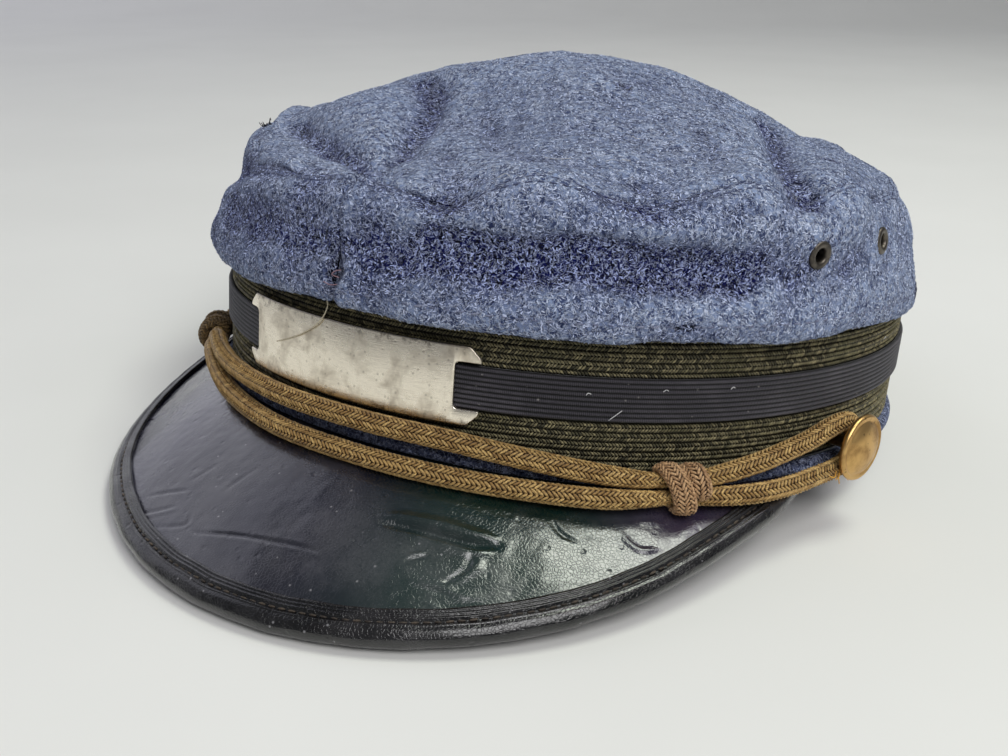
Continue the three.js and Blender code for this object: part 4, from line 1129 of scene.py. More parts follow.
def paleness_with_fold_shade(sheet, ways, base, round_reach, up_reach):
    """How pale the cloth is painted: its base share, raised on ridges by painted light and lowered in hollows
    by painted shade.
    """
    spread = np.pad(sheet, ((round_reach,) * 2, (up_reach,) * 2, (0, 0)), mode="edge")
    rows, columns = sheet.shape[:2]
    corners = ((0, up_reach), (2 * round_reach, up_reach), (round_reach, 0), (round_reach, 2 * up_reach))
    around = [spread[i:i + rows, j:j + columns] for i, j in corners]
    bend = ((sum(around) / 4 - sheet) * ways).sum(-1)
    return np.clip(base - bend * FOLD_LIGHT_AND_SHADE_GAIN, 0, 1)


def cloth_shell(name, sheet, ways, worn, closed=False):
    """A panel of cloth with its inside, which has fewer rows."""
    inside = (sheet - ways * CROWN_WALL)[:, ::INSIDE_EVERY]
    return shell(name, sheet, inside, closed, dict(worn=worn))


def add_nap(name, slot, sheet, worn, share, bare, density, length=NAP_LENGTH, width=NAP_WIDTH, seed=SEED):
    """Fibres on cloth: thinner where the share is low, and none near its holes."""
    for angle, along, radius in bare:
        share = share * (from_spot(sheet, angle, along) > radius)
    marks = dict(nap=share, worn=worn)
    base = make_mesh(name + "_cloth", sheet, sheet_faces(*sheet.shape[:2]), marks=marks, whole=False)
    fibres = grow(base, NAP, Density=density, Length=length * MM, Width=width * MM, Seed=seed,
                  Material=WOOL_FIBRE)
    add_piece(name, fibres, slot, WOOL_FIBRE)


def sew(name, slot, thread, lines, ways, pitch, size, uneven, detail, leans=0.0, closed=False, seed=SEED):
    """Stitches or strands along lines on a surface."""
    segments, rings = detail
    stitches = grow(lines_mesh(name + "_lines", lines, ways, leans, closed), SEWING, Pitch=pitch * MM,
                    Size=tuple(length * MM for length in size), Uneven=uneven, Seed=seed, Material=thread,
                    Segments=segments, Rings=rings)
    add_piece(name, stitches, slot, thread)


def runs(indices):
    """Indices in a row, parted where one is missing."""
    return np.split(indices, np.where(np.diff(indices) > 1)[0] + 1)


top_sheet, top_ways = crown_top()
top_paleness = paleness_with_fold_shade(top_sheet, top_ways, TOP_PALENESS, *TOP_REACH)
for angle, along, wide in MOTH_HOLES:
    top_paleness = top_paleness * (from_spot(top_sheet, angle, along) > wide)
top_mesh = cloth_shell("crown_top", top_sheet, top_ways, top_paleness, closed=True)
tear_tool = hole_tool(*TEAR, ragged(TEAR_LENGTH, TEAR_WIDTH, SEED))
moth_tools = [hole_tool(angle, along, ragged(wide, wide, SEED + 1)) for angle, along, wide in MOTH_HOLES]
add_piece("crown_top_cloth", cut(top_mesh, [tear_tool] + moth_tools), "wool", WOOL, "crown_top")
tear_bare = [(TEAR[0] + aside, TEAR[1], TEAR_WIDTH / 2 + TEAR_MARGIN) for aside in TEAR_ASIDE]
top_bare = tear_bare + [(angle, along, wide / 2 + MOTH_MARGIN) for angle, along, wide in MOTH_HOLES]
top_share = 1 - SEAM_LOSS * bell(row_distance(top_sheet) / SEAM_LOSS_WIDE)
add_nap("crown_top_nap", "wool", top_sheet, top_paleness, top_share, top_bare, TOP_NAP, TOP_NAP_LENGTH,
        TOP_NAP_WIDTH)

slit_line = np.array([crown_spot(FRONT_SEAM, SLIT_AT + step * SLIT_TALL)[0] for step in SLIT_SPOTS])
hem_row = np.argmin(np.abs(SIDE_ALONGS - HEM_AT))
stitch_lines, stitch_ways, hem_lines, hem_ways = [], [], [], []
for side, start, end, opening in (("left", FRONT_SEAM, BACK_SEAM, 1),
                                  ("right", BACK_SEAM - 360, FRONT_SEAM, -1)):
    sheet, ways, to_edge = crown_side(start, end, opening, SEED + 5 * opening)
    far_round = np.abs(turn(0, np.linspace(start, end, SIDE_STEPS + 1)))[:, None]
    base = FRONT_PALENESS + (BACK_PALENESS - FRONT_PALENESS) / (1 + np.exp((BACK_FROM - far_round) / BACK_BLEND))
    worn = paleness_with_fold_shade(sheet, ways, base, *SIDE_REACH)
    eyes = [place for name, place in EYELETS.items() if side in name]
    round_hole = ragged(2 * EYELET_CUT, 2 * EYELET_CUT, SEED, ROUND_HOLE_CORNERS, 0)
    holes = [hole_tool(angle, along, round_hole) for angle, along in eyes]
    if side == "left":
        nick = ragged(NICK_WIDTH, NICK_TALL, SEED + 2, rough=NICK_ROUGH)
        holes.append(hole_tool(*NICK, nick, NICK_DEEP))
    else:
        holes.append(tear_tool)
    mesh = cloth_shell("crown_" + side, sheet, ways, worn)
    add_piece("crown_" + side + "_cloth", cut(mesh, holes), "wool", WOOL, "crown_side_" + side)
    stitched = sum(bell((to_edge - at) / STITCH_LOSS_WIDE) for at in TOPSTITCH_AT)
    share = 1 - SEAM_LOSS * bell(to_edge / SEAM_LOSS_WIDE) - SEAM_LOSS * stitched
    share = share * (to_line(sheet, slit_line)[0] > SLIT_BARE)
    share[[0, -1]] *= SEAM_NAP
    bare = [(angle, along, EYELET_BARE) for angle, along in eyes] + tear_bare
    add_nap("crown_" + side + "_nap", "wool", sheet, worn, np.maximum(share, 0), bare, SIDE_NAP,
            seed=SEED + opening)
    every = np.arange(len(sheet))
    for at in TOPSTITCH_AT:
        rows = np.argmin(np.abs(to_edge - at), axis=1)
        for part in runs(every[from_spot(sheet[every, rows], *TEAR) > TEAR_CLEAR]):
            stitch_lines.append((sheet + ways * TOPSTITCH_LIFT)[part, rows[part]])
            stitch_ways.append(ways[part, rows[part]])
    hem_lines.append((sheet + ways * HEM_LIFT)[:, hem_row])
    hem_ways.append(ways[:, hem_row])

sew("crown_topstitch", "wool", NAVY_THREAD, stitch_lines, stitch_ways, TOPSTITCH_PITCH, TOPSTITCH_SIZE,
    TOPSTITCH_UNEVEN, STITCH_DETAIL)
sew("crown_hem_stitches", "wool", PALE_THREAD, hem_lines, hem_ways, HEM_PITCH, HEM_SIZE, HEM_UNEVEN,
    STITCH_DETAIL, seed=SEED + 1)

EYELET_SIDES = 40
EYELET_SHAPE = [(1.5, -1.7), (1.95, -1.7), (2.0, -0.3), (3.15, -0.25), (3.25, 0.0), (3.15, 0.24), (2.8, 0.46),
                (2.35, 0.54), (1.9, 0.45), (1.6, 0.15)]
for name, spot in EYELETS.items():
    place, way = crown_spot(*spot)
    ring = lathe(name, EYELET_SHAPE, EYELET_SIDES, place + way * EYELET_LIFT, way)
    add_piece(name + "_ring", ring, "eyelet", EYELET, name)


# Band, ribbon, welt and badge

ROUND = np.linspace(0, 360, 320, endpoint=False)
BAND_GROUND_OUT, BRAID_OUT = -0.35, -0.05
BRAID_ROW, BRAID_PITCH, BRAID_LEAN, BRAID_UNEVEN = 1.1, 0.76, 0.74, 0.08
BRAID_PAIR = 0.06
BRAID_SIZE = (1.6, 0.58, 0.7)
BRAID_CLEAR = 0.5
BRAID_ANGLES = np.linspace(-180, 180, 721)
LOW_ROWS, HIGH_ROWS = 11, 8
RIBBON_TOP = RIBBON_BOTTOM + RIBBON_WIDTH
RIBBON_RIDGES, RIBBON_RIDGE, RIDGE_STEPS, RIDGE_SHARP = 9, 0.5, 6, 1.1
WELT_SIDES, WELT_WORN, WELT_NAP_CLEAR = 14, 0.3, 1.2 * MM


def ring_loops(outline):
    """Sections round the band from an outline of distance out and height for each angle."""
    return np.stack([on_oval(ROUND, out, height) for out, height in outline], axis=1)


def band_bottom(angle):
    return welt_height(angle) + WELT_RADIUS + GAP


band_heights = [band_bottom(ROUND), RIBBON_BOTTOM, RIBBON_TOP, BAND_TOP]
band_outline = [(BAND_GROUND_OUT, height) for height in band_heights]
band_outline += [(-BAND_WALL, BAND_TOP), (-BAND_WALL, band_bottom(ROUND))]
add_piece("band_ground", loft("band", ring_loops(band_outline)), "braid", BRAID_SHADE_GROUND, "band")

# Strands in rows that lean one way and the other in turn, only where the band shows them
braid_floor = band_bottom(BRAID_ANGLES) + BRAID_CLEAR
for name, first, count in (("band_braid_low", RIBBON_BOTTOM - LOW_ROWS * BRAID_ROW, LOW_ROWS),
                           ("band_braid_high", RIBBON_TOP + BRAID_ROW / 2, HIGH_ROWS)):
    lines, ways, leans = [], [], []
    for i in range(count):
        hand = 1 if i % 2 else -1
        height = first + i * BRAID_ROW + BRAID_PAIR * hand
        for part in runs(np.where(height > braid_floor)[0]):
            if len(part) > 2:
                lines.append(on_oval(BRAID_ANGLES[part], BRAID_OUT, height))
                ways.append(oval_out(BRAID_ANGLES[part]))
                leans.append(BRAID_LEAN * hand)
    sew(name, "braid", BRAID_STRAND, lines, ways, BRAID_PITCH, BRAID_SIZE, BRAID_UNEVEN, STRAND_DETAIL, leans)

ribbon_up = np.linspace(0, 1, RIBBON_RIDGES * RIDGE_STEPS + 1)
ridge = np.abs(np.sin(ribbon_up * math.pi * RIBBON_RIDGES)) ** RIDGE_SHARP
ribbon_outline = [(GAP + RIBBON_WALL - RIBBON_RIDGE * (1 - crest), RIBBON_BOTTOM + RIBBON_WIDTH * share)
                  for crest, share in zip(ridge, ribbon_up)]
ribbon_outline += [(GAP, RIBBON_TOP), (GAP, RIBBON_BOTTOM)]
# The ridge mark also places the ribbon's painted groove shade.
ribbon_marks = dict(ridge=np.tile(np.append(ridge, [0, 0]), (len(ROUND), 1)))
ribbon_mesh = loft("ribbon", ring_loops(ribbon_outline), marks=ribbon_marks)
add_piece("ribbon_corded", ribbon_mesh, "ribbon", RIBBON, "ribbon")

welt_outline = [(WELT_OUT + WELT_RADIUS * math.sin(a), welt_height(ROUND) + WELT_RADIUS * math.cos(a))
                for a in full_turn(WELT_SIDES)]
welt_loops = ring_loops(welt_outline)
welt_worn = np.full(welt_loops.shape[:2], WELT_WORN)
add_piece("welt_cloth", loft("welt", welt_loops, marks=dict(worn=welt_worn)), "welt", WOOL, "band_welt")
welt_sheet = np.concatenate([welt_loops, welt_loops[:1]])[:, :WELT_SIDES // 2 + 1]
welt_clear = (settle(welt_sheet)[..., 2] > WELT_NAP_CLEAR).astype(float)
add_nap("welt_nap", "welt", welt_sheet, np.full(welt_clear.shape, WELT_WORN), welt_clear, [], WELT_NAP)

BADGE_SLICES, BADGE_BEVEL, BADGE_SHARP = 60, 0.3, math.radians(40)
BADGE_WAVE, BADGE_UNEVEN = 14, 0.05
CORNER_STEPS = 6
# Radii of the badge's corners: at its chamfers, along and up, on its teeth and in its notches
TRIM_ROUND, END_ROUND, TOOTH_ROUND, NOTCH_ROUND = 0.7, 0.5, 0.3, 1.4


def rounded(corners):
    """An outline with its corners rounded: each corner has its own radius."""
    points = []
    count = len(corners)
    for i, (x, y, radius) in enumerate(corners):
        corner = np.array([x, y])
        start = corner + unit(np.array(corners[i - 1][:2]) - corner) * radius
        end = corner + unit(np.array(corners[(i + 1) % count][:2]) - corner) * radius
        for t in np.linspace(0, 1, CORNER_STEPS):
            points.append((1 - t) ** 2 * start + 2 * t * (1 - t) * corner + t ** 2 * end)
    return np.array(points)


def badge_mesh():
    """A plate with eased edges, notched at both ends for the ribbon, then bent to the band."""
    arc = math.radians(1) * (BAND_HALF_LENGTH + BADGE_OUT)
    half = BADGE_HALF_ANGLE * arc
    low, high = (BADGE_HEIGHT - NOTCH_HEIGHT) / 2, (BADGE_HEIGHT + NOTCH_HEIGHT) / 2
    left, right = -half + NOTCH_DEPTHS[0], half - NOTCH_DEPTHS[1]
    trim, tall = BADGE_CHAMFER, BADGE_HEIGHT
    outline = rounded([
        (trim - half, 0, TRIM_ROUND), (half - trim, 0, TRIM_ROUND), (half, trim, END_ROUND),
        (half, low, TOOTH_ROUND), (right, low, NOTCH_ROUND), (right, high, NOTCH_ROUND),
        (half, high, TOOTH_ROUND), (half, tall - trim, END_ROUND), (half - trim, tall, TRIM_ROUND),
        (trim - half, tall, TRIM_ROUND), (-half, tall - trim, END_ROUND), (-half, high, TOOTH_ROUND),
        (left, high, NOTCH_ROUND), (left, low, NOTCH_ROUND), (-half, low, TOOTH_ROUND),
        (-half, trim, END_ROUND)])
    work = bmesh.new()
    face = work.faces.new([work.verts.new((u, v, 0)) for u, v in outline])
    made = bmesh.ops.extrude_face_region(work, geom=[face])
    raised = [item for item in made["geom"] if isinstance(item, bmesh.types.BMVert)]
    bmesh.ops.translate(work, verts=raised, vec=(0, 0, BADGE_WALL))
    lifted = set(raised)
    rim = [e for e in work.edges if e.verts[0] in lifted and e.verts[1] in lifted]
    bmesh.ops.bevel(work, geom=rim, offset=BADGE_BEVEL, segments=3, profile=0.5, affect="EDGES")
    for place in np.linspace(-half, half, BADGE_SLICES)[1:-1]:
        everything = work.verts[:] + work.edges[:] + work.faces[:]
        bmesh.ops.bisect_plane(work, geom=everything, plane_co=(place, 0, 0), plane_no=(1, 0, 0))
    bmesh.ops.recalc_face_normals(work, faces=work.faces)
    work.verts.index_update()
    flat = np.array([v.co for v in work.verts])
    out = BADGE_OUT + flat[:, 2] + ripple(flat, BADGE_WAVE, BADGE_UNEVEN, SEED) * flat[:, 2]
    bent = settle(on_oval(flat[:, 0] / arc, out, BADGE_BOTTOM + flat[:, 1]))
    for vertex, place in zip(work.verts, bent):
        vertex.co = place
    layer = work.loops.layers.uv.new("UVMap")
    for corner in (loop for face in work.faces for loop in face.loops):
        corner[layer].uv = flat[corner.vert.index][:2]
    mesh = bpy.data.meshes.new("badge")
    work.to_mesh(mesh)
    work.free()
    mesh.shade_smooth()
    mesh.set_sharp_from_angle(angle=BADGE_SHARP)
    return mesh


add_piece("badge_plate", badge_mesh(), "badge", NICKEL, "badge")


# Visor and its binding

VISOR_STEPS, VISOR_ROWS, UNDER_ROWS = 450, 108, 10
VISOR_STEP, VISOR_EDGE = 0.005, 0.01
# Unevenness of the leather: wavelengths and heights
VISOR_WAVES = [(44, 0.14), (12, 0.03), (3, 0.012)]
CREASE_STEPS, CREASE_END, CREASE_LIP, CREASE_LIP_AT = 5, 0.02, 0.15, 2.2
# Creases and flaws: height (below or above the face), half width, and the way they run across and along
CREASES = [
    (-0.42, 0.4, [(-0.1, 0.78), (-0.02, 0.69), (0.08, 0.64), (0.105, 0.645)]),
    (-0.3, 0.42, [(-0.25, 0.82), (-0.217, 0.72), (-0.183, 0.64)]),
    (-0.26, 0.4, [(-0.24, 0.94), (-0.205, 0.83), (-0.174, 0.73)]),
    (0.16, 0.42, [(-0.225, 0.93), (-0.195, 0.83), (-0.165, 0.74)]),
    (-0.28, 0.42, [(-0.172, 0.87), (-0.124, 0.763), (-0.134, 0.72)]),
    (0.4, 1.1, [(0.168, 0.425), (0.195, 0.385), (0.26, 0.388), (0.34, 0.458), (0.354, 0.49)]),
    (-1.15, 0.95, [(0.176, 0.43), (0.23, 0.435), (0.28, 0.462), (0.32, 0.488), (0.354, 0.497)]),
    (0.3, 0.9, [(0.257, 0.51), (0.293, 0.53), (0.322, 0.547), (0.343, 0.535)]),
    (-0.45, 0.45, [(0.32, 0.56), (0.316, 0.64), (0.293, 0.72)]),
    (0.28, 0.9, [(0.334, 0.56), (0.33, 0.64), (0.31, 0.71)]),
    (0.3, 0.9, [(0.25, 0.712), (0.288, 0.74), (0.314, 0.78), (0.343, 0.8)]),
    (-0.3, 0.4, [(0.25, 0.735), (0.288, 0.764), (0.314, 0.8)]),
    (-0.32, 0.42, [(0.234, 0.605), (0.259, 0.58)]),
    (0.3, 0.42, [(0.228, 0.59), (0.253, 0.565)]),
    (-0.3, 0.42, [(0.432, 0.314), (0.451, 0.425), (0.474, 0.49)]),
    (0.3, 0.6, [(0.546, 0.458), (0.574, 0.65), (0.603, 0.7)]),
    (-0.25, 0.42, [(0.138, 0.535), (0.166, 0.575)]),
    (-0.14, 0.5, [(-0.202, 0.612), (-0.191, 0.532), (-0.185, 0.445)]),
    (-0.14, 0.5, [(-0.117, 0.548), (-0.109, 0.455), (-0.098, 0.351)]),
    (-0.24, 0.5, [(-0.534, 0.85), (-0.493, 0.605)]),
    (0.2, 0.6, [(0.582, 0.388), (0.625, 0.478)]),
    (0.26, 0.45, [(0.274, 0.816), (0.301, 0.866)]),
]


def visor_ways(across, along):
    """The ways the visor's upper side faces."""
    near = np.clip(along, VISOR_EDGE, 1 - VISOR_EDGE)
    down = visor(across, near + VISOR_STEP) - visor(across, near - VISOR_STEP)
    side = visor(across + VISOR_STEP, near) - visor(across - VISOR_STEP, near)
    return unit(np.cross(down, side))


def visor_face(across, along, off):
    """The visor, that far off its middle layer."""
    across, along, off = np.broadcast_arrays(*(np.asarray(v, float) for v in (across, along, off)))
    return visor(across, along) + visor_ways(across, along) * off[..., None]


visor_across = np.linspace(-VISOR_REACH, VISOR_REACH, VISOR_STEPS + 1)[:, None]
visor_along = np.linspace(1, 0, VISOR_ROWS + 1)[None]
over = visor_face(visor_across, visor_along, VISOR_WALL / 2)
relief = sum(ripple(over, wave, height, SEED + 3 + i) for i, (wave, height) in enumerate(VISOR_WAVES))
for height, wide, route in CREASES:
    places = smooth_path([(across, along, 0) for across, along in route], CREASE_STEPS)
    line = visor_face(places[:, 0], places[:, 1], VISOR_WALL / 2)
    gap, place = to_line(over, line)
    depth = height * np.sqrt(np.sin(math.pi * np.clip(place, CREASE_END, 1 - CREASE_END)))
    relief += depth * bell(gap / wide) - CREASE_LIP * depth * bell((gap - CREASE_LIP_AT * wide) / wide)
facing = visor_ways(visor_across, visor_along)
under = visor_face(visor_across, np.linspace(1, 0, UNDER_ROWS + 1)[None], -VISOR_WALL / 2)
visor_places = visor_across + np.zeros((1, VISOR_ROWS + 1))
# The across mark places the visor's painted reflection tints.
visor_mesh = shell("visor", over + facing * relief[..., None], under, marks=dict(across=visor_places))
add_piece("visor_leather", visor_mesh, "patent", PATENT, "visor")

BINDING_INNER = VISOR_WALL / 2 + GAP
BINDING_WALL, BINDING_NOSE, BINDING_SHARE, BINDING_SEAM = 0.8, 1.6, 0.55, 0.5
BINDING_OUTER = BINDING_INNER + BINDING_WALL
BINDING_STEPS, BINDING_ROWS, BINDING_NOSE_ROWS, BINDING_LIP = 360, 49, 11, 0.04
# A rolled edge, a stitched groove, a crest and three ridges: height, place in from the edge, half width
BINDING_RELIEF = [(0.3, 0.2, 0.17), (-0.35, BINDING_SEAM, 0.05), (0.2, 0.36, 0.04), (0.2, 0.65, 0.04),
                  (0.2, 0.79, 0.04), (0.2, 0.92, 0.04)]
BINDING_WAVE, BINDING_UNEVEN, BINDING_WAVE_WAY = 9, 0.07, np.array([0.3, 0.3, 1])
SEAM_SIZE, SEAM_PITCH, SEAM_UNEVEN, SEAM_LIFT = (1.7, 0.5, 0.4), 2.3, 0.1, 0.1
binding_across = np.linspace(-VISOR_REACH, VISOR_REACH, BINDING_STEPS)
visor_length = np.linalg.norm(visor(binding_across, 0) - visor(binding_across, 1), axis=-1)
binding_width = np.minimum(BINDING_WIDTH, BINDING_SHARE * visor_length)


def binding_top(share):
    """Height of the folded strip above the visor's middle layer."""
    return BINDING_OUTER + sum(height * bell((share - at) / wide) for height, at, wide in BINDING_RELIEF)


def binding_place(share, off):
    """Points for every place across: a share of the strip's width in from the edge, and height off."""
    inset = share * binding_width
    along = 1 - np.maximum(inset, 0) / visor_length
    inwards = unit(visor(binding_across, 0.95) - visor(binding_across, 1))
    face = visor(binding_across, along) + inwards * np.minimum(inset, 0)[:, None]
    return face + visor_ways(binding_across, along) * np.reshape(off, (-1, 1))


nose = np.linspace(-math.pi / 2, math.pi / 2, BINDING_NOSE_ROWS)
binding_shape = [(1.0, -BINDING_OUTER), (0.5, -BINDING_OUTER)]
binding_shape += [(-BINDING_NOSE / BINDING_WIDTH * math.cos(a), BINDING_OUTER * math.sin(a)) for a in nose]
binding_shape += [(share, binding_top(share)) for share in np.linspace(BINDING_LIP, 1, BINDING_ROWS)]
binding_shape += [(1.0, BINDING_INNER), (-0.05, BINDING_INNER), (-0.05, -BINDING_INNER),
                  (1.0, -BINDING_INNER)]
binding_loops = np.stack([binding_place(share, off) for share, off in binding_shape], axis=1)
binding_loops += ripple(binding_loops, BINDING_WAVE, BINDING_UNEVEN, SEED + 6)[..., None] * BINDING_WAVE_WAY
binding_mesh = loft("binding", binding_loops, closed=False)
add_piece("visor_binding_strip", binding_mesh, "binding", BINDING, "visor_binding")
seam_along = 1 - BINDING_SEAM * binding_width / visor_length
seam_line = binding_place(BINDING_SEAM, binding_top(BINDING_SEAM) + SEAM_LIFT)
seam_ways = visor_ways(binding_across, seam_along)
sew("visor_binding_stitches", "binding", BINDING_THREAD, [seam_line], [seam_ways], SEAM_PITCH, SEAM_SIZE,
    SEAM_UNEVEN, STITCH_DETAIL)


# Chin cord, knots and buttons

CORD_COLUMNS, CORD_PITCH, CORD_LEAN, CORD_UNEVEN = 10, 1.12, 0.66, 0.07
CORD_SIZE = (2.35, 0.74, 0.74)
CORD_POINTS, CORD_STEPS, CORE_SIDES, CORE_INSET, BRAID_INSET = 520, 16, 12, 0.35, 0.28
KNOT_GRIP = 5.0


def cord_line():
    """The middle of the cord: along the front, round one shank, back below and round the other."""
    upper = [on_oval(angle, out, height) for angle, height, out, _, _ in CORD_ROUTE]
    lower = [on_oval(angle, out, height) for angle, _, _, height, out in CORD_ROUTE][::-1]
    loops = []
    for side in (1, -1):
        loop = []
        for place, out in LOOP_TURNS:
            a = math.radians(place)
            reach = BUTTON_LOOP * math.cos(a) / (math.radians(1) * BAND_HALF_WIDTH)
            height = BUTTON_HEIGHT + BUTTON_LOOP * math.sin(a)
            loop.append(on_oval(side * (BUTTON_ANGLE + reach), out, height))
        loops.append(loop)
    line = smooth_path(upper + loops[0] + lower + loops[1][::-1], CORD_STEPS, closed=True)
    return evenly(line, CORD_POINTS)


def plait(name, slot, strands, loops, ways):
    """Strands in columns round a closed cord, leaning one way and the other in turn."""
    columns = range(loops.shape[1])
    leans = [CORD_LEAN if c % 2 else -CORD_LEAN for c in columns]
    sew(name, slot, strands, [loops[:, c] for c in columns], [ways[:, c] for c in columns], CORD_PITCH,
        CORD_SIZE, CORD_UNEVEN, CORD_DETAIL, leans, closed=True)


cord = cord_line()
cord_angle = np.degrees(np.arctan2(cord[:, 0] / BAND_HALF_WIDTH, -cord[:, 1] / BAND_HALF_LENGTH))
grip = np.maximum(*(bell(turn(knot, cord_angle) / KNOT_GRIP) for knot in (KNOT_LEFT, KNOT_RIGHT)))
cord_radius = CORD_RADIUS + (CORD_PINCH - CORD_RADIUS) * grip
core, _ = tube_loops(cord, cord_radius - CORE_INSET, CORE_SIDES)
add_piece("chin_cord_core", loft("cord", core), "cord", CORD_SHADE_GROUND, "chin_cord")
skin = tube_loops(cord, cord_radius - BRAID_INSET, CORD_COLUMNS)
plait("chin_cord_braid", "cord", CORD_STRAND, *skin)

KNOT_STEPS, KNOT_SIDES = 64, 12
KNOT_HALF_WIDTH, KNOT_FRONT, KNOT_BACK = 2.35, 1.55, 0.6
KNOT_END_ASIDE = 2.75
KNOT_CLEAR, KNOT_ROOM, KNOT_SKIN, KNOT_SKIN_SPREAD = -0.1, 0.5, 0.1, 1.01
KNOT_SLANT = 1.7
KNOT_END_HALF_WIDTH, KNOT_END_SPREAD, KNOT_END_COLUMNS = 2.2, 1.08, 10


def knot_loops(angle, shift, slant, half_width, shrink=1.0, sides=KNOT_SIDES, both=True):
    """A turn of flattened cord round both runs or the upper one, thin where it passes behind them."""
    _, up_high, up_out, low_high, low_out = next(row for row in CORD_ROUTE if row[0] == angle)
    if not both:
        low_high, low_out = up_high - 0.01, up_out
    along = unit(on_oval(angle + 0.5, 0, 0) - on_oval(angle - 0.5, 0, 0))
    out = oval_out(angle)
    upper, lower = np.array([up_out, up_high]), np.array([low_out, low_high])
    middle = (upper + lower) / 2
    long_way = unit(upper - lower)
    front_way = np.array([long_way[1], -long_way[0]])
    spread = np.linalg.norm(upper - lower) / 2
    loops, ways = [], []
    room = CORD_PINCH + KNOT_CLEAR
    turns = full_turn(sides)
    for a in full_turn(KNOT_STEPS):
        face = (1 + math.sin(a)) / 2
        thick = KNOT_BACK + (KNOT_FRONT - KNOT_BACK) * face
        reach = np.array([spread + room + thick, room + KNOT_ROOM + thick]) * shrink
        place = middle + long_way * reach[0] * math.cos(a) + front_way * reach[1] * math.sin(a)
        away = unit(long_way * math.cos(a) / reach[0] + front_way * math.sin(a) / reach[1])
        centre = on_oval(angle, place[0], place[1]) + along * (shift - slant * math.cos(a))
        away_3d = out * away[0] + UP * away[1]
        section_ways = np.cos(turns)[:, None] * away_3d + np.sin(turns)[:, None] * along
        size = np.cos(turns)[:, None] * away_3d * thick + np.sin(turns)[:, None] * along * half_width
        loops.append(centre + size)
        ways.append(section_ways)
    return np.array(loops), np.array(ways)


for name, angle, slant, strands in (("knot_left", KNOT_LEFT, KNOT_SLANT, KNOT_STRAND),
                                    ("knot_right", KNOT_RIGHT, -KNOT_SLANT, KNOT_DARK)):
    wrap, _ = knot_loops(angle, 0, slant, KNOT_HALF_WIDTH)
    add_piece(name + "_core", loft(name, wrap), "knot", CORD_SHADE_GROUND, name)
    skin = knot_loops(angle, 0, slant, KNOT_HALF_WIDTH + KNOT_SKIN, KNOT_SKIN_SPREAD)
    plait(name + "_braid", "knot", strands, *skin)
    aside = KNOT_END_ASIDE * slant
    end, _ = knot_loops(angle, aside, slant / 2, KNOT_END_HALF_WIDTH, KNOT_END_SPREAD, both=False)
    add_piece(name + "_end_core", loft(name, end), "knot", CORD_SHADE_GROUND)
    skin = knot_loops(angle, aside, slant / 2, KNOT_END_HALF_WIDTH + KNOT_SKIN, KNOT_END_SPREAD,
                      KNOT_END_COLUMNS, both=False)
    plait(name + "_end_braid", "knot", strands, *skin)

BUTTON_SIDES = 72
BUTTON_SHAPE = [(0, 0.3), (1.6, 0.3), (1.6, 7.3), (5.6, 7.4), (6.9, 7.6), (7.7, 8.05), (8.1, 8.6), (8.1, 9.0),
                (7.9, 9.4), (7.5, 9.6), (7.1, 9.55), (6.8, 9.35), (6.55, 9.4), (6.2, 9.75), (5.2, 10.3),
                (3.8, 10.85), (2, 11.2), (0, 11.3)]
for name, side in (("button_left", 1), ("button_right", -1)):
    place, way = on_oval(side * BUTTON_ANGLE, 0, BUTTON_HEIGHT), oval_out(side * BUTTON_ANGLE)
    add_piece(name + "_brass", lathe(name, BUTTON_SHAPE, BUTTON_SIDES, place, way), "button", BRASS, name)


# Loose threads, hairs and lint

THREAD_STEPS, THREAD_SIDES = 6, 5


def on_crown(route, lift):
    """A thread lying on the crown."""
    spots = [crown_spot(angle, along) for angle, along in route]
    return smooth_path([place + way * lift for place, way in spots], THREAD_STEPS)


def on_band(route):
    """A thread by the band: angle, height and distance out."""
    return smooth_path([on_oval(angle, out, height) for angle, height, out in route], THREAD_STEPS)


def tufts(spots, count, reach, tall):
    """Broken threads standing in tufts on the crown."""
    draw = np.random.default_rng(SEED + 2)
    lines = []
    for angle, along in spots:
        place, way = crown_spot(angle, along)
        for _ in range(count):
            foot = place + draw.normal(size=3) * reach - way * 0.4
            bends = way * draw.uniform(0.3, 1.0) * tall / 3 + draw.normal(size=(3, 3)) * tall / 5
            lines.append(smooth_path(np.concatenate([[foot], foot + np.cumsum(bends, axis=0)]), 3))
    return lines


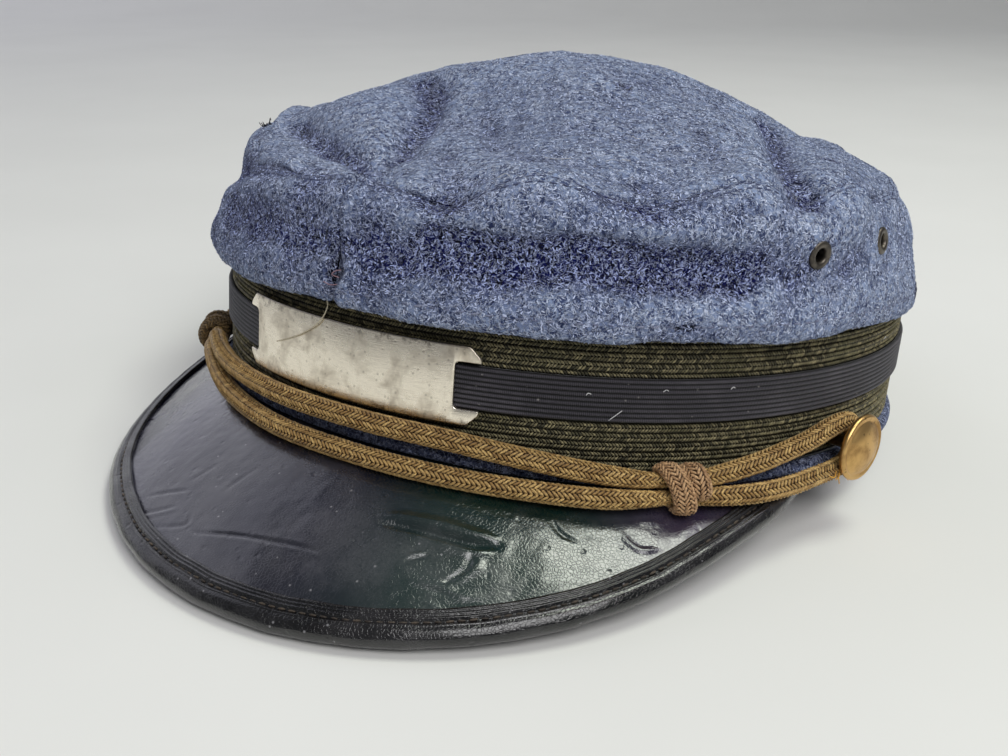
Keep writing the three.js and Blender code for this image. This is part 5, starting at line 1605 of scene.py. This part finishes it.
LOOSE = [
    ("tear_tufts", DARK_THREAD, 0.11, tufts([(-66.5, 0.594), (-68.2, 0.602)], 22, 0.5, 1.5)),
    ("cream_thread", CREAM_THREAD, 0.16, [
        on_band([(-2.6, 35.8, 3.8), (-2.2, 33.6, 2.6), (-2.6, 31.4, 2.4), (-3.6, 28.6, 2.9),
                 (-6.4, 25.2, 2.9), (-9.6, 22.6, 2.85), (-12.6, 20.6, 2.8)])]),
    ("dark_thread", DARK_THREAD, 0.12, [on_band([(1.6, 34.6, 1.0), (2.8, 34.4, 1.2), (4.2, 33.6, 0.8)])]),
    ("slit_threads", PINK_THREAD, 0.12, [
        on_crown([(1.5, 0.28), (0.6, 0.272), (0.2, 0.26), (1.4, 0.254)], 0.2),
        on_crown([(-1.3, 0.228), (-0.2, 0.222), (1.2, 0.23)], -0.3)]),
    ("cord_frays", FRAY_THREAD, 0.13, [
        on_band([(71.6, 2.4, 7.6), (71.0, 1.2, 8.6), (70.2, 0.6, 8.8)]),
        on_band([(71.4, 1.6, 7.6), (71.2, 0.2, 8.4), (71.6, -1.0, 8.2)]),
        on_band([(70.8, 2.2, 7.8), (69.8, 1.4, 8.8), (69.0, 1.8, 8.6)]),
        on_band([(72.0, 1.8, 7.8), (72.4, 0.4, 8.8), (73.0, -0.4, 8.8)])]),
    ("crown_hairs", LINT_THREAD, 0.06, [
        on_crown([(41.5, 0.783), (42.2, 0.776), (43, 0.777)], 0.7),
        on_crown([(34.8, 0.712), (36.6, 0.72), (39, 0.717)], 0.7),
        on_crown([(20.5, 0.638), (21.4, 0.64), (22.2, 0.627)], 0.7),
        on_crown([(25.2, 0.711), (27.2, 0.705), (29.2, 0.712)], 0.7)]),
    ("ribbon_lint", LINT_THREAD, 0.1, [
        on_band([(37.4, 16.2, 1.5), (38.3, 17.6, 1.7), (39, 18.5, 1.5)]),
        on_band([(44.1, 22.9, 1.5), (44.5, 23.4, 1.6), (44.8, 23.1, 1.5)]),
        on_band([(53.6, 23.2, 1.5), (53.9, 23.7, 1.6), (54.2, 23.4, 1.5)]),
        on_band([(34.2, 21.6, 1.5), (34.4, 22.1, 1.6), (34.8, 21.9, 1.5)]),
        on_band([(87.5, 28.2, 0.6), (87.9, 28.7, 0.7), (88.2, 28.4, 0.6)])]),
]
for name, material, radius, lines in LOOSE:
    threads = grow(lines_mesh(name, lines), THREADS, Radius=radius * MM, Sides=THREAD_SIDES,
                   Material=material)
    add_piece(name, threads, "cord" if material in (CREAM_THREAD, FRAY_THREAD) else "wool", material)


# Floor, light and camera

CAMERA_AZIMUTH, CAMERA_ELEVATION, CAMERA_ROLL = (math.radians(a) for a in (32.22, 17.17, 4.49))
CAMERA_FAR, CAMERA_ASIDE, CAMERA_UP, CAMERA_BASE = 329.24, -16.35, -20.18, 14.8
FOCAL_SHARE = 1100 / 1008

back = np.array([math.sin(CAMERA_AZIMUTH) * math.cos(CAMERA_ELEVATION),
                 -math.cos(CAMERA_AZIMUTH) * math.cos(CAMERA_ELEVATION), math.sin(CAMERA_ELEVATION)])
right = np.array([math.cos(CAMERA_AZIMUTH), math.sin(CAMERA_AZIMUTH), 0])
up = np.cross(back, right)
eye = back * CAMERA_FAR + right * CAMERA_ASIDE + up * CAMERA_UP + np.array([0, 0, CAMERA_BASE])
rolled_right = right * math.cos(CAMERA_ROLL) + up * math.sin(CAMERA_ROLL)
rolled_up = up * math.cos(CAMERA_ROLL) - right * math.sin(CAMERA_ROLL)
axes = [TIP @ way for way in (rolled_right, rolled_up, back)]
place = settle(eye)
lens = bpy.data.cameras.new("camera")
lens.sensor_width = 36.0
lens.lens = FOCAL_SHARE * lens.sensor_width
lens.clip_start = 0.01
camera = bpy.data.objects.new("camera", lens)
stance = [[axes[0][k], axes[1][k], axes[2][k], place[k]] for k in range(3)]
camera.matrix_world = Matrix(stance + [[0, 0, 0, 1]])
bpy.context.scene.collection.objects.link(camera)
bpy.context.scene.camera = camera

FLOOR_HALF, FLOOR_BACK, COVE_RADIUS, COVE_TOP = 4.0, 1.3, 0.9, 2.5
floor_paint, floor_tree, floor_shader = paint("pale_floor", Roughness=0.85, Specular_IOR_Level=0.2)
speckle = noise(floor_tree, here(floor_tree), 9.0, 3.0)
wire(floor_tree, floor_shader, Base_Color=mix(floor_tree, speckle, tone(228, 228, 225), tone(236, 236, 233)))
cove = [(-2.5, 0.0), (FLOOR_BACK, 0.0)]
cove += [(FLOOR_BACK + COVE_RADIUS * math.sin(a), COVE_RADIUS * (1 - math.cos(a)))
         for a in np.linspace(0, math.pi / 2, 16)[1:]]
cove.append((FLOOR_BACK + COVE_RADIUS, COVE_TOP))
away = -np.array([back[0], back[1]]) / math.hypot(back[0], back[1])
floor_points = [(away[0] * y - away[1] * x, away[1] * y + away[0] * x, z)
                for y, z in cove for x in (-FLOOR_HALF, FLOOR_HALF)]
floor_mesh = bpy.data.meshes.new("floor")
floor_mesh.from_pydata(floor_points, [], sheet_faces(len(cove), 2))
floor_mesh.shade_smooth()
floor_mesh.materials.append(floor_paint)
floor = bpy.data.objects.new("floor", floor_mesh)
bpy.context.scene.collection.objects.link(floor)


def softbox(name, place, size, radiance, colour):
    """A soft lamp facing the cap."""
    lamp = bpy.data.lights.new(name, "AREA")
    lamp.shape = "RECTANGLE"
    lamp.size, lamp.size_y = size
    lamp.energy = radiance * math.pi * size[0] * size[1]
    lamp.color = colour
    holder = bpy.data.objects.new(name, lamp)
    holder.location = place
    holder.rotation_euler = (-Vector(place)).to_track_quat("-Z", "Y").to_euler()
    bpy.context.scene.collection.objects.link(holder)


softbox("overhead", (0.36, 0.32, 1.3), (0.5, 0.5), 8.5, (0.95, 1.0, 0.88))
softbox("key", (0.85, -0.6, 1.1), (0.9, 0.8), 5.4, (1.0, 0.99, 0.99))
softbox("left_wall", (-1.6, 0.2, 1.0), (2.4, 1.8), 0.65, (0.86, 0.86, 1.0))
softbox("back_right", (0.66, 0.6, 1.05), (0.4, 0.5), 1.8, (0.96, 0.9, 1.0))

world = bpy.data.worlds.new("studio")
world.use_nodes = True
world.node_tree.nodes["Background"].inputs["Color"].default_value = (0.9, 0.92, 1.0, 1.0)
world.node_tree.nodes["Background"].inputs["Strength"].default_value = 0.17
bpy.context.scene.world = world
bpy.context.scene.view_settings.view_transform = "Standard"
